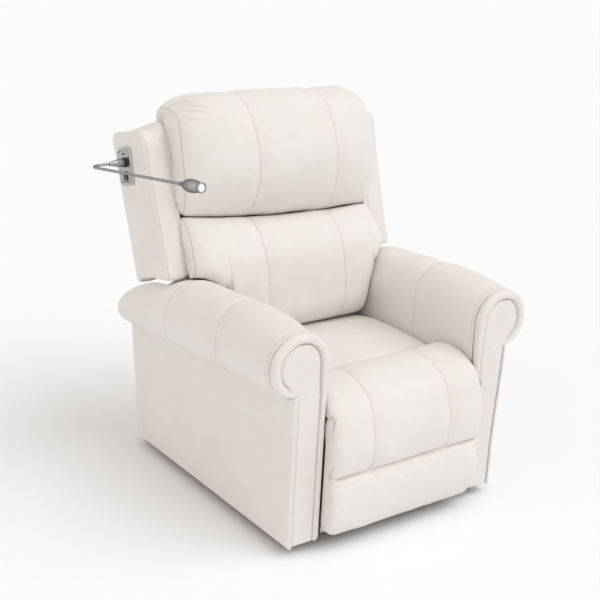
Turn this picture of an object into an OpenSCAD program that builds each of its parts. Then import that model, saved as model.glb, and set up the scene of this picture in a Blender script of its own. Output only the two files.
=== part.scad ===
// Power recliner chair with scroll arms, wings, a rising footrest and a reading lamp.
// The origin lies on the floor under the middle tube of the floor frame. The chair
// faces -Y. Outlines are given as (forward, up) pairs, where forward is -Y.

/* [Seat and arms] */
// Width between the two arms
seat_w = 520; // [500:5:580]
// Thickness of the seat cushion at its middle
seat_thick = 74; // [70:1:84]
// Height of the top face of the seat frame
frame_h = 362; // [356:1:368]
// Gap between the floor and the covers
floor_gap = 26; // [20:1:32]
// Width of an arm below its roll
arm_w = 105; // [100:1:125]
// Radius of an arm's roll
roll_r = 89; // [85:1:92]
// Rise of the roll's centre over the seat frame, at the arm's front
arm_rise = 179; // [168:1:194]
// Fall of the arm towards its rear, degrees
arm_fall = 4.4; // [3:0.2:5]
// Distance from the middle of the floor frame to the arms' front
front_d = 400; // [396:1:412]
// Distance from the middle of the floor frame to the arms' rear at the floor
rear_d = 398; // [394:1:420]
// Radius of the round front panel of an arm
scroll_r = 62; // [56:1:64]
/* [Back] */
// Lean of the back when it is up, degrees
back_lean = 21.5; // [18:0.5:24]
// Length of the back frame above the hinge
back_h = 690; // [670:5:740]
// Distance of the hinge behind the middle of the floor frame
hinge_d = 200; // [190:1:206]
// Drop of the hinge below the top face of the seat frame
hinge_drop = 32; // [28:1:36]
// Half of the width between the wings
wing_in = 325; // [322:1:332]
// Thickness of a wing over its board and pad
wing_t = 80; // [70:1:95]
// Depth of a wing in front of the back frame
wing_front = 133; // [115:1:145]
/* [Footrest] */
// Distance of the drive tube behind the arms' front
tube_back = 195; // [190:1:200]
// Drop of the drive tube below the top face of the seat frame
tube_drop = 77; // [72:1:82]
// Length of the footrest's lower pivot below its turning centre
hang_h = 203.7; // [195:1:208]
// Gap between the footrest and the floor
rest_gap = 37; // [32:1:45]
/* [Floor frame] */
// Width and height of the floor frame's square tubes
tube_s = 25; // [20:1:30]
// Distance from the middle to a skid's front end
skid_front = 330; // [300:5:340]
// Distance from the middle to a skid's rear end
skid_rear = 250; // [240:5:300]
/* [Lamp] */
// Length of the straight run of the lamp's neck
neck_run = 378; // [250:2:400]
// Radius of the lamp's neck
neck_r = 4; // [3:0.5:4.5]
// Radius of the lamp's head at its widest
head_r = 18; // [15:1:20]
// Length of the lamp's head
head_len = 95; // [80:1:110]

/* [Hidden] */
$fn = 64;
over = 2;

// Clearances
soft_gap = 0.3;
run_gap = 0.05;
open_gap = 0.5;
// Colours
leather_c = [0.94, 0.92, 0.89];
steel_c = [0.32, 0.33, 0.35];
wood_c = [0.80, 0.66, 0.46];
nickel_c = [0.72, 0.70, 0.66];
black_c = [0.1, 0.1, 0.11];

// Places that follow from the driving sizes
seat_h = frame_h + seat_thick;
roll_h = frame_h + arm_rise;
hinge_h = frame_h - hinge_drop;
tube_h = frame_h - tube_drop;
tube_d = front_d - tube_back;
// The rear of the arms is cut on an arc round the hinge that clears the turning wings
arc_rise = 1.2;
arm_arc_r = roll_z(-hinge_d) + roll_r - hinge_h + arc_rise;

// Side mechanism: the layers lie one inside the other, in from the side plate
half_seat = seat_w / 2;
plate_t = 4;
plate_out = half_seat + plate_t / 2;
plate_in = plate_out - plate_t;
link_t = 5;
outer_gap = 1.5;
link_out = plate_in - outer_gap;
link_mid = link_out - link_t;
inner_out = link_mid - outer_gap;
inner_in = inner_out - link_t;
head_t = 1.7;
head_gap = 0.3;
head_out = inner_in - head_gap;
head_in = head_out - head_t;
rivet_r = 5;
rivet_head_r = 8;
outer_head_t = 1;
spacer_gap = 0.15;
// Footrest linkage, as (forward, up) points: drive tube, turning centre, lower pivot
tube_r = 11;
tube_wall = 2;
tube_p = [tube_d, tube_h];
lift_rise = 7.3;
lift_ahead = 26.5;
lift_c = [front_d + lift_ahead, seat_h - lift_rise];
hang_back = 62.5;
pad_pin = lift_c - [hang_back, hang_h];
hang = pad_pin - lift_c;
reach = lift_c - tube_p;
knee = tube_p + hang;
level_gap = 34;
guide_gap = 45;
knee_level = knee - level_gap * unit(hang);
pad_level = pad_pin - level_gap * unit(hang);
guide_root = tube_p + guide_gap * unit(reach);
knee_guide = knee + guide_gap * unit(reach);
drive_w = 13;
drive_hub_r = 17;
guide_w = 10;
thrust_w = 11;
level_w = 9;
lift_angle = 92;
// Seat frame
rail_h = 36;
rail_w = 32;
cross_rail_w = 24;
seat_rear = hinge_d - 50;
rail_set_back = 26;
rail_front = front_d - rail_set_back;
front_leg_back = 120;
rear_leg_ahead = 65;
leg_u = [tube_d - front_leg_back, rear_leg_ahead - hinge_d];
leg_drop = 62;
leg_top = frame_h - leg_drop;
cross_drop = 105;
cross_z = leg_top - cross_drop;
// Split between the seat's roll and the footrest, square to the cover there
split_tilt = 15.7;
split_d = 35;
split_dir = [-cos(split_tilt), -sin(split_tilt)];
split_p = lift_c + split_d * [sin(split_tilt), -cos(split_tilt)];
// Back
hinge_p = [-hinge_d, hinge_h];
pin_r = 6;
upright_w = 25.5;
upright_in = link_mid - upright_w;
upright_d = 40;
upright_foot = 20;
board_t = 12;
wing_rear = 54;
wing_clear = 3;
wing_foot = arm_arc_r + wing_clear;
wing_over = 4;
wing_top = back_h + wing_over;
wing_out = wing_in + wing_t;
wing_board_in = wing_in + wing_clear;
cover_foot = 52;
recline_angle = 35;
// Actuators
motor_x = 91;
crank_x = 65;
crank_t = 6;
lift_crank_r = 55;
lift_line = tube_h - lift_crank_r * cos(lift_angle / 2);
lift_slide = lift_crank_r * sin(lift_angle / 2);
recline_crank_r = 90;
recline_line = hinge_h - recline_crank_r * cos(recline_angle / 2);
recline_slide = recline_crank_r * sin(recline_angle / 2);
block_l = 34;
block_h = 30;
block_w = 40;
rail_bar_w = 20;
rail_bar_h = 14;
rail_gap = 0.4;
actuator_pin_r = 5;
motor_base = cross_z + tube_s;
motor_h = 55;
motor_w = 60;
gear_l = 50;
motor_r = 22;
motor_l = 100;
// Arms
panel_t = 12;
front_t = 22;
inner_panel_t = 3.5;
arm_board_t = 16;
arm_out = half_seat + arm_w;
roll_inset = 18;
roll_x = arm_out - roll_inset;
roll_cut = 80;
knee_rise = 59;
arm_knee = hinge_h + knee_rise;
rear_slope = 0.1377;
band_gap = 0.5;
band_r = (roll_r + scroll_r + band_gap) / 2;
band_half = (roll_r - scroll_r - band_gap) / 2;
band_set_back = 8.5;
band_u = front_d - band_set_back;
strip_gap = 2;
strip_in = half_seat + strip_gap;
strip_w = 20;

// Vectors
function unit(v) = v / norm(v);
function dir(a) = [cos(a), sin(a)];
function turned(v, a) = [v[0] * cos(a) - v[1] * sin(a), v[0] * sin(a) + v[1] * cos(a)];
function mix(a, b, t) = a + (b - a) * t;
// Height of the roll's centre at a place along the arm
function roll_z(u) = roll_h - (front_d - u) * tan(arm_fall);

// Extrudes an outline of (forward, up) points from x0 to x1
module side(x0, x1) {
    translate([x0, 0, 0]) mirror([0, 1, 0]) rotate([90, 0, 90])
        linear_extrude(height = x1 - x0) children();
}
// Extrudes an outline of (x, up) points from u0 forward to u1
module facing(u0, u1) {
    translate([0, -u0, 0]) rotate([90, 0, 0]) linear_extrude(height = u1 - u0) children();
}
// A round bar along x at a (forward, up) point
module bar_x(p, r, x0, x1) {
    translate([x0, -p[0], p[1]]) rotate([0, 90, 0]) cylinder(r = r, h = x1 - x0);
}
// A block between two x, two forward and two height values
module block(x0, x1, u0, u1, z0, z1) {
    translate([x0, -u1, z0]) cube([x1 - x0, u1 - u0, z1 - z0]);
}
module both() {
    children();
    mirror([1, 0, 0]) children();
}
// The leaning frame of the back: forward and up are measured from its hinge
module on_back() {
    translate([0, -hinge_p[0], hinge_p[1]]) rotate([-back_lean, 0, 0]) children();
}
// A flat link's outline with round ends, a little narrower between them
waist_share = 0.94;
module stadium(p, q, r) {
    n = waist_share * r * [-unit(q - p)[1], unit(q - p)[0]];
    translate(p) circle(r);
    translate(q) circle(r);
    polygon([p + n, p - n, q - n, q + n]);
}
module hole(p, r) {
    translate(p) circle(r);
}
// A rectangle with round corners
module round_rect(w, h, r) {
    square([w - 2 * r, h], center = true);
    square([w, h - 2 * r], center = true);
    for (sx = [-1, 1], sy = [-1, 1]) translate([sx * (w / 2 - r), sy * (h / 2 - r)]) circle(r);
}
// What the turning wings leave free at the rear of the arms
module arm_limit(r) {
    translate(hinge_p) circle(r);
    translate([-rear_d - arm_w, 0]) square([rear_d + front_d + 2 * arm_w, arm_knee]);
    translate([-hinge_d, 0]) square([hinge_d + front_d + arm_w, roll_h + roll_r]);
}
// The arm seen from its side, with its upper edge a drop below the roll's centre
module arm_side(u_front, foot, drop, inset, arc_r) {
    foot_u = -rear_d + inset - (foot - floor_gap) * rear_slope;
    top_u = -rear_d + inset - (roll_z(-rear_d) - drop - floor_gap) * rear_slope;
    intersection() {
        polygon([[u_front, foot], [u_front, roll_z(u_front) - drop],
            [top_u, roll_z(top_u) - drop], [foot_u, foot]]);
        arm_limit(arc_r);
    }
}

// Padded forms. A form is a row of rings with the same number of points
function middle(ring) = [for (k = [0:2]) [for (p = ring) p[k]] * [for (p = ring) 1] / len(ring)];
module loft(rings) {
    n = len(rings[0]);
    m = len(rings);
    points = concat([for (r = rings) each r], [middle(rings[0]), middle(rings[m - 1])]);
    faces = concat(
        [for (j = [0:m - 2], i = [0:n - 1]) each
            [[j * n + i, j * n + (i + 1) % n, (j + 1) * n + (i + 1) % n],
            [j * n + i, (j + 1) * n + (i + 1) % n, (j + 1) * n + i]]],
        [for (i = [0:n - 1]) [m * n, (i + 1) % n, i]],
        [for (i = [0:n - 1]) [m * n + 1, (m - 1) * n + i, (m - 1) * n + (i + 1) % n]]);
    polyhedron(points = points, faces = faces, convexity = 8);
}
// How deep the cover is drawn in at x by sewn channels
function channel(x, seams, dip, spread) =
    dip * max([for (s = seams) exp(-pow((abs(x) - s) / spread, 2))]);
// How far the cover rounds off towards the sides
function rounding(x, half, edge) =
    abs(x) <= half - edge ? 0
    : edge - sqrt(max(0, pow(edge, 2) - pow(abs(x) - half + edge, 2)));
// Places across a form, closer at its channels and its round sides
function across(half, seam, spread, edge) = concat(
    [seam * 0.5, seam - 2 * spread, seam - spread, seam, seam + spread, seam + 2 * spread],
    [mix(seam + 2 * spread, half - edge, 0.5)],
    [for (k = [1, 0.6, 0.25, 0.06, 0]) half - k * edge]);
function both_ways(a) = concat([for (i = [len(a) - 1:-1:0]) -a[i]], [0], a);
function place(x, p) = [x, -p[0], p[1]];
stitch_x = 132;
stitch_dip = 9;
stitch_spread = 15;

// Seat cushion: (forward, height over the seat frame) of its top line, rear to front
side_clear = 1;
seat_half = plate_in - side_clear;
roll_depth = 163.5;
seat_len = front_d - roll_depth;
seat_edge = 34;
seat_station = 100;
seat_spread = 20;
seat_dome = 6;
seat_top_shares = [[0, 0.54], [0.04, 0.60], [0.12, 0.76], [0.23, 0.95], [0.4, 1.02], [0.6, 1.03],
    [0.8, 1.01], [0.93, 0.98], [1, 0.86]];
seat_rear_gap = 5;
seat_rear_u = seat_rear - seat_rear_gap;
function seat_ring(x) = let(
    f = rounding(x, seat_half, seat_edge) * 0.45 + seat_dome * pow(abs(x) / seat_half, 2),
    top = [for (s = seat_top_shares) [mix(-seat_rear_u, seat_len, s[0]), frame_h + seat_thick * s[1] - f]])
    concat([place(x, [seat_len, frame_h])],
        [for (i = [len(top) - 1:-1:0]) place(x, top[i])],
        [place(x, [-seat_rear_u, frame_h])]);

// Front roll of the seat: an outline about its own core, from the cushion's front down
roll_len = split_p[0] - seat_len - soft_gap;
roll_core = [0.45, 0.45];
roll_edge = 26;
lip_gap = 3;
lip_most = 20;
roll_shares = [[0.005, 0.72], [0.04, 1.02], [0.14, 1.19], [0.28, 1.29], [0.44, 1.32],
    [0.6, 1.24], [0.755, 1.05], [0.87, 0.88], [0.955, 0.70]];
function roll_pt(s) = [seat_len + soft_gap + s[0] * roll_len, frame_h + s[1] * seat_thick];
split_inner = split_p + split_dir * (split_p[0] - rail_front - lip_gap) / cos(split_tilt);
function front_roll_ring(x) = let(
    g = channel(x, [stitch_x], stitch_dip, stitch_spread) + rounding(x, seat_half, roll_edge) * 0.8,
    core = roll_pt(roll_core),
    body = [for (s = roll_shares) let(p = roll_pt(s)) p + g * min(1, s[0] * 12) * unit(core - p)],
    lip = split_p + min(g, lip_most) * split_dir)
    concat([for (p = body) place(x, p)],
        [place(x, lip), place(x, split_inner), place(x, [split_inner[0], frame_h]),
        place(x, [seat_len + soft_gap, frame_h])]);

// Footrest pad: (share of its thickness, share of its height) down its face
pad_top = split_p + soft_gap * [sin(split_tilt), -cos(split_tilt)];
pad_board_t = 14;
board_gap = 12;
board_u = rail_front + board_gap;
pad_rear_u = board_u + pad_board_t;
pad_thick = 58;
pad_tall = pad_top[1] - rest_gap;
pad_shares = [[0.74, 0.915, 1], [0.9, 0.84, 1], [1, 0.768, 1], [0.985, 0.66, 1], [0.88, 0.56, 0.6],
    [0.6, 0.503, 0], [0.84, 0.44, 0], [0.97, 0.33, 0], [0.93, 0.2, 0], [0.72, 0.09, 0], [0.35, 0.015, 0]];
function pad_ring(x) = let(
    r = rounding(x, seat_half, roll_edge),
    c = channel(x, [stitch_x], stitch_dip, stitch_spread),
    face = [for (s = pad_shares)
        [pad_rear_u + s[0] * pad_thick - s[2] * c - min(0.9, s[0]) * r * 0.9, rest_gap + s[1] * pad_tall]],
    lip = pad_top + min(c + r * 0.9, lip_most) * split_dir,
    root = pad_top + split_dir * (pad_top[0] - pad_rear_u) / cos(split_tilt))
    concat([place(x, [pad_rear_u, rest_gap + r * 0.3])],
        [for (i = [len(face) - 1:-1:0]) place(x, face[i])],
        [place(x, lip), place(x, root)]);

// Lumbar cushion and head cushion: (height, depth in the middle, depth at the side)
lumbar_lines = [[50, 140, 128], [62, 182, 150], [95, 214, 168], [142, 232, 176], [204, 249, 178],
    [262, 254, 172], [300, 247, 150], [332, 233, 132], [362, 214, 120], [379, 188, 108]];
head_lines = [[383, 186, 104], [394, 214, 112], [420, 250, 126], [462, 282, 146], [522, 308, 170],
    [590, 313, 188], [650, 303, 196], [705, 281, 188], [738, 250, 160], [755, 200, 118]];
head_crown_lines = [[757, 140, 90], [745, 70, 50], [722, 4, 4]];
// The length of back frame that these lines are drawn for
drawn_back_h = 690;
pad_scale = back_h / drawn_back_h;
back_clear = 1.5;
narrow_half = link_mid - back_clear;
shoulder_gap = 4;
shoulder_v = wing_foot + shoulder_gap;
back_front = 1;
back_half = wing_in - 0.5;
bulge_past = 6;
bulge_half = wing_in + bulge_past;
back_stitch_x = 137;
lumbar_edge = 12;
lumbar_station = 20;
head_edge = 30;
head_station = 40;
crown_dip_v = 150;
crown_from_v = 700;
function bulge(x, half) = sqrt(max(0, 1 - pow(abs(x) / half, 2.4)));
function back_pt(x, half, line, dip) =
    [mix(line[2], line[1], bulge(x, half)) - dip, line[0] * pad_scale];
function lumbar_ring(x) = let(
    c = channel(x, [back_stitch_x], stitch_dip, stitch_spread),
    foot = abs(x) > narrow_half ? shoulder_v : lumbar_lines[0][0],
    r = rounding(x, back_half, lumbar_edge),
    face = [for (l = lumbar_lines) let(p = back_pt(x, bulge_half, l, c + r)) [p[0], max(p[1], foot + p[0] * 0.01)]])
    concat([for (p = face) place(x, p)],
        [place(x, [back_front, lumbar_lines[len(lumbar_lines) - 1][0] * pad_scale]),
        place(x, [back_front, foot])]);
function head_ring(x) = let(
    c = channel(x, [back_stitch_x], stitch_dip, stitch_spread),
    r = rounding(x, back_half, head_edge),
    face = [for (l = concat(head_lines, head_crown_lines))
        let(p = back_pt(x, bulge_half, l, min(1, l[1] / crown_dip_v) * (c + r * 0.6)))
        [max(back_front, p[0]), p[1] - (l[0] > crown_from_v ? r * 0.9 : 0)]])
    concat([for (p = face) place(x, p)],
        [place(x, [back_front, head_lines[0][0] * pad_scale])]);

// Wing pad: rings of its side outline, drawn in towards its outer face
wing_corner = 44;
function wing_outline(e) = let(
    r = wing_corner - e * 0.5, n0 = -wing_rear + e, n1 = wing_front - e,
    v0 = wing_foot + e, v1 = wing_top - e)
    concat(
        [for (a = [-90:18:0]) [n1 - r, v0 + r] + r * dir(a)],
        [for (a = [0:18:90]) [n1 - r, v1 - r] + r * dir(a)],
        [for (a = [90:30:180]) [n0 + r * 0.5, v1 - r * 0.5] + r * 0.5 * dir(a)],
        [for (a = [180:30:270]) [n0 + r * 0.4, v0 + r * 0.4] + r * 0.4 * dir(a)]);
module wing_pad() {
    on_back() loft([for (k = [[0, 0], [0.6, 0], [0.82, 3], [0.94, 9], [1, 18]])
        [for (p = wing_outline(k[1])) place(mix(wing_board_in + board_t, wing_out, k[0]), p)]]);
}

// Arm roll: rings of its section, each point on its own line to the arm's rear arc
roll_crown = 10;
groove_dip = 3.5;
groove_u = [130, -130];
groove_spread = 11;
roll_u0 = front_d - front_t;
function arc_u(z, r) = hinge_p[0] - sqrt(max(1, pow(r, 2) - pow(z - hinge_p[1], 2)));
function roll_section(a, u) = let(
    g = groove_dip * max([for (c = groove_u) exp(-pow((u - c) / groove_spread, 2))]),
    t = (roll_u0 - u) / (roll_u0 + rear_d),
    s = sin(a), z = max(-roll_cut, (roll_r - g) * s))
    [roll_x + (roll_r - g) * cos(a), roll_z(u) + z + roll_crown * sin(180 * min(1, t)) * max(0, s)];
function roll_end(a) = let(
    u1 = arc_u(roll_section(a, -rear_d)[1], arm_arc_r - 1),
    u2 = arc_u(roll_section(a, u1)[1], arm_arc_r - 1))
    arc_u(roll_section(a, u2)[1], arm_arc_r - 1);
roll_angles = [for (k = [0:16]) mix(-64, 244, k / 16)];
roll_stops = [0, 0.1, 0.2, 0.27, 0.297, 0.324, 0.39, 0.47, 0.56, 0.6, 0.627, 0.66, 0.74, 0.84, 0.92, 0.97, 1];
function roll_ring(k) = [for (a = roll_angles) let(
    u = mix(roll_u0, max(-rear_d - 42, roll_end(a)), roll_stops[k]),
    p = roll_section(a, u)) [p[0], -u, p[1]]];
module arm_roll() {
    color(leather_c) loft([for (k = [0:len(roll_stops) - 1]) roll_ring(k)]);
}

// Floor frame
module floor_skids() {
    color(steel_c) both() block(plate_in - tube_s, plate_in, -skid_rear, skid_front, 0, tube_s);
}
module floor_cross_tube() {
    color(steel_c) block(-plate_in + tube_s, plate_in - tube_s, -tube_s / 2, tube_s / 2, 0, tube_s);
}
cap_t = 4;
module skid_end_caps() {
    color(black_c) both() {
        block(plate_in - tube_s, plate_in, skid_front, skid_front + cap_t, 0, tube_s);
        block(plate_in - tube_s, plate_in, -skid_rear - cap_t, -skid_rear, 0, tube_s);
    }
}
bolt_r = 4;
bolt_head_r = 7;
bolt_head_t = 5;
leg_bolt_drop = 23;
leg_bolts = [for (u = leg_u) [u + tube_s / 2, leg_top - leg_bolt_drop]];
bolt_rise = 11;
bolt_ends = 40;
front_bolt_back = 74;
mid_bolt_ahead = 190;
rail_bolts = [for (u = [bolt_ends - seat_rear, mid_bolt_ahead - seat_rear, rail_front - front_bolt_back])
    [u, frame_h - rail_h + bolt_rise]];
module frame_legs() {
    color(steel_c) {
        difference() {
            both() for (u = leg_u)
                block(plate_in - tube_s, plate_in, u, u + tube_s, tube_s, leg_top);
            for (p = leg_bolts) bar_x(p, bolt_r, -plate_out - over, plate_out + over);
        }
        for (u = leg_u)
            block(-plate_in + tube_s, plate_in - tube_s, u, u + tube_s, cross_z, cross_z + tube_s);
    }
}
plate_drop = 14;
plate_top = frame_h - plate_drop;
plate_under = 30;
plate_foot = tube_h - plate_under;
plate_set_back = 55;
plate_front = front_d - plate_set_back;
plate_past = 25;
plate_toe = 65;
plate_heel = 50;
bush_t = 2;
bush_flange = 3;
module side_plates() {
    color(steel_c) both() side(plate_in, plate_out) difference() {
        polygon([[-hinge_d - plate_past, hinge_h - plate_under], [-hinge_d - plate_past, plate_top],
            [plate_front, plate_top], [plate_front, hinge_h - plate_under],
            [tube_d + plate_toe, plate_foot], [-hinge_d + plate_heel, plate_foot]]);
        hole(tube_p, tube_r + bush_t);
        hole(guide_root, rivet_r);
        hole(hinge_p, pin_r);
        for (p = concat(leg_bolts, rail_bolts)) hole(p, bolt_r);
    }
}
module bolt(p, x_head) {
    bar_x(p, bolt_r, x_head, plate_out);
    translate([x_head - bolt_head_t, -p[0], p[1]]) rotate([0, 90, 0])
        cylinder(r = bolt_head_r, h = bolt_head_t, $fn = 6);
}
root_collar = 3;
hinge_collar = 4;
module root_pin(p, r, collar) {
    bar_x(p, r, inner_out + spacer_gap, plate_out);
    bar_x(p, r + collar, inner_out + spacer_gap, link_mid - head_gap);
    bar_x(p, r + collar, link_out + spacer_gap, plate_in);
}
module frame_fasteners() {
    color(nickel_c) both() {
        for (p = leg_bolts) bolt(p, plate_in - tube_s);
        for (p = rail_bolts) bolt(p, plate_in - rail_w);
        root_pin(guide_root, rivet_r, root_collar);
        root_pin(hinge_p, pin_r, hinge_collar);
    }
}
module drive_tube_bushes() {
    color(black_c) both() difference() {
        union() {
            bar_x(tube_p, tube_r + bush_t, plate_in, plate_out);
            bar_x(tube_p, tube_r + bush_t + bush_flange, link_out + spacer_gap, plate_in);
        }
        bar_x(tube_p, tube_r + run_gap, link_out - over, plate_out + over);
    }
}

// Seat
module seat_frame() {
    color(wood_c) {
        both() difference() {
            block(plate_in - rail_w, plate_in, -seat_rear, rail_front, frame_h - rail_h, frame_h);
            for (p = rail_bolts) bar_x(p, bolt_r, plate_in - rail_w - over, plate_in + over);
        }
        for (u = [-seat_rear, rail_front - cross_rail_w])
            block(-plate_in + rail_w, plate_in - rail_w, u, u + cross_rail_w, frame_h - rail_h, frame_h);
    }
}
// Flat zigzag spring strip, along the first axis
spring_t = 3;
spring_wave = 14;
spring_pitch = 46;
module zigzag(l) {
    n = floor(l / spring_pitch) * 4;
    a = [for (i = [0:n]) [i * l / n, i % 4 == 1 ? spring_wave : i % 4 == 3 ? -spring_wave : 0]];
    polygon(concat([for (p = a) p + [0, spring_t / 2]], [for (i = [n:-1:0]) a[i] - [0, spring_t / 2]]));
}
seat_spring_xs = [-170, -85, 0, 85, 170];
module seat_springs() {
    color(steel_c) for (x = seat_spring_xs)
        translate([x, seat_rear - cross_rail_w, frame_h - 2 * spring_t]) rotate([0, 0, -90])
            linear_extrude(height = spring_t) zigzag(rail_front + seat_rear - 2 * cross_rail_w);
}
module seat_cushion() {
    color(leather_c) loft([for (x = both_ways(across(seat_half, seat_station, seat_spread, seat_edge))) seat_ring(x)]);
}
module seat_front_roll() {
    color(leather_c) loft([for (x = both_ways(across(seat_half, stitch_x, stitch_spread, roll_edge)))
        front_roll_ring(x)]);
}

// Arms, drawn on the sitter's left
arm_post_w = 26;
frame_foot = 60;
module arm_frame() {
    color(wood_c) {
        side(plate_out, plate_out + arm_board_t)
            arm_side(roll_u0 - over, frame_foot, roll_cut + soft_gap, over, arm_arc_r - over);
        side(plate_out + arm_board_t, arm_out - panel_t) difference() {
            arm_side(roll_u0 - over, frame_foot, roll_cut + soft_gap, over, arm_arc_r - over);
            arm_side(roll_u0 - over - arm_post_w, frame_foot + arm_post_w,
                roll_cut + arm_post_w, over + arm_post_w, arm_arc_r - over - arm_post_w);
        }
    }
}
module left_arm_frame() { arm_frame(); }
module right_arm_frame() { mirror([1, 0, 0]) arm_frame(); }
module side_panel() {
    color(leather_c) side(arm_out - panel_t, arm_out)
        arm_side(roll_u0, floor_gap, roll_cut + soft_gap, 0, arm_arc_r);
}
module left_side_panel() { side_panel(); }
module right_side_panel() { mirror([1, 0, 0]) side_panel(); }
inner_lap = 12;
inner_foot = frame_h - inner_lap;
inner_drop = 32;
module inner_arm_panels() {
    color(leather_c) both() side(plate_out - inner_panel_t, plate_out) intersection() {
        arm_side(roll_u0, floor_gap, inner_drop, over, arm_arc_r - over);
        translate([-rear_d - arm_w, inner_foot]) square([rear_d + front_d + arm_w, roll_h]);
    }
}
module left_arm_roll() { arm_roll(); }
module right_arm_roll() { mirror([1, 0, 0]) arm_roll(); }
strip_drop = 51;
strip_top = roll_h - strip_drop;
band_joint = 25;
band_lap = 1.5;
strip_flat = 3;
strip_step = 10;
edge_strip_w = 11;
edge_strip_drops = [85, 104];
module arm_band() {
    color(leather_c) {
        translate([roll_x, -band_u, roll_h]) rotate([90, 0, 0]) rotate([0, 0, -64])
            rotate_extrude(angle = 269) translate([band_r, 0]) circle(band_half);
        facing(band_u - band_half, band_u + band_half - strip_flat) {
            polygon([[strip_in, floor_gap], [strip_in + strip_w, floor_gap],
                [strip_in + strip_w, strip_top - strip_step],
                [roll_x, roll_h] - (scroll_r + band_lap) * dir(band_joint),
                [roll_x, roll_h] - (roll_r - band_lap) * dir(band_joint), [strip_in, strip_top]]);
            polygon([[arm_out - edge_strip_w, floor_gap], [arm_out, floor_gap],
                [arm_out, roll_h - edge_strip_drops[0]], [arm_out - edge_strip_w, roll_h - edge_strip_drops[1]]]);
        }
    }
}
module left_arm_band() { arm_band(); }
module right_arm_band() { mirror([1, 0, 0]) arm_band(); }
panel_in = strip_in + strip_w + side_clear;
panel_out = arm_out - edge_strip_w - side_clear;
// Neck of the keyhole panel: distances below the roll's centre, and how far it widens
neck_drops = [101, 78, 61, 41, 72];
neck_flare = [13, 17];
module front_panel() {
    color(leather_c) facing(roll_u0, front_d) {
        translate([roll_x, roll_h]) circle(scroll_r);
        polygon([[panel_in, floor_gap], [panel_out, floor_gap], [panel_out, roll_h - neck_drops[0]],
            [panel_out + neck_flare[0], roll_h - neck_drops[1]],
            [panel_out + neck_flare[0], roll_h - neck_drops[2]], [roll_x, roll_h - neck_drops[3]],
            [panel_in + neck_flare[1], roll_h - neck_drops[3]], [panel_in, roll_h - neck_drops[4]]]);
    }
}
module left_front_panel() { front_panel(); }
module right_front_panel() { mirror([1, 0, 0]) front_panel(); }
skirt_t = 8;
skirt_inset = 5;
skirt_u = rear_d - skirt_inset;
module rear_skirt() {
    color(leather_c) block(-plate_out, plate_out, -skirt_u, -skirt_u + skirt_t, floor_gap, hinge_h);
}

// Drives
footrest_gear_u = leg_u[0] + tube_s;
recline_gear_u = leg_u[1];
module motor(x, gear_u, way, line) {
    block(x - motor_w / 2, x + motor_w / 2, min(gear_u, gear_u - way * gear_l),
        max(gear_u, gear_u - way * gear_l), motor_base, motor_base + motor_h);
    translate([x, -(gear_u - way * gear_l), line]) rotate([way * -90, 0, 0])
        cylinder(r = motor_r, h = motor_l);
}
module footrest_motor() { color(black_c) motor(-motor_x, footrest_gear_u, 1, lift_line); }
module recline_motor() { color(black_c) motor(motor_x, recline_gear_u, -1, recline_line); }
rail_run = 10;
lift_rail_end = tube_d + lift_slide + block_l / 2 + rail_run;
recline_rail_end = -hinge_d - recline_slide - block_l / 2 - rail_run;
module motor_rails() {
    color(nickel_c) {
        block(-motor_x - rail_bar_w / 2, -motor_x + rail_bar_w / 2, footrest_gear_u, lift_rail_end,
            lift_line - rail_bar_h / 2, lift_line + rail_bar_h / 2);
        block(motor_x - rail_bar_w / 2, motor_x + rail_bar_w / 2, recline_rail_end, recline_gear_u,
            recline_line - rail_bar_h / 2, recline_line + rail_bar_h / 2);
    }
}
// A sliding block on its rail, with the pin that enters the crank's slot
module slide_block(x, pin_x0, pin_x1, u, line) {
    difference() {
        block(x - block_w / 2, x + block_w / 2, u - block_l / 2, u + block_l / 2,
            line - block_h / 2, line + block_h / 2);
        block(x - rail_bar_w / 2 - rail_gap, x + rail_bar_w / 2 + rail_gap, u - block_l / 2 - over,
            u + block_l / 2 + over, line - rail_bar_h / 2 - rail_gap, line + rail_bar_h / 2 + rail_gap);
    }
    bar_x([u, line], actuator_pin_r, pin_x0, pin_x1);
}
pin_past = 4;
module footrest_drive_block() {
    color(nickel_c) slide_block(-motor_x, -motor_x + block_w / 2, -crank_x + crank_t / 2 + pin_past,
        tube_d - lift_slide, lift_line);
}
module recline_drive_block() {
    color(nickel_c) slide_block(motor_x, crank_x - crank_t / 2 - pin_past, motor_x - block_w / 2,
        -hinge_d - recline_slide, recline_line);
}
supply = [140, 70, 45];
module power_supply() {
    color(black_c) block(-supply[0] / 2, supply[0] / 2, -supply[1] / 2, supply[1] / 2, tube_s,
        tube_s + supply[2]);
}
inlet_x = -180;
inlet_z = 90;
inlet_r = 11;
inlet_l = 10;
inlet_bore_r = 7;
module power_inlet() {
    color(black_c) translate([inlet_x, skirt_u, inlet_z]) rotate([-90, 0, 0]) difference() {
        cylinder(r = inlet_r, h = inlet_l);
        translate([0, 0, over]) cylinder(r = inlet_bore_r, h = inlet_l);
    }
}

// Switches in the sitter's right arm
ctrl_back = 190;
ctrl_u = front_d - ctrl_back;
ctrl_rise = 38;
ctrl_z = seat_h + ctrl_rise;
ctrl_l = 92;
ctrl_h = 42;
ctrl_t = 5;
rocker_l = 26;
rocker_h = 30;
rocker_gap = 0.8;
rocker_axle_r = 1.5;
rocker_cap_t = 4.5;
ctrl_in = plate_out - inner_panel_t;
rocker_pivot = ctrl_t / 2;
rocker_half_pitch = 20;
rocker_us = [ctrl_u - rocker_half_pitch, ctrl_u + rocker_half_pitch];
rocker_sink = 1;
axle_gap = 0.2;
ctrl_corner = 6;
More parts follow.
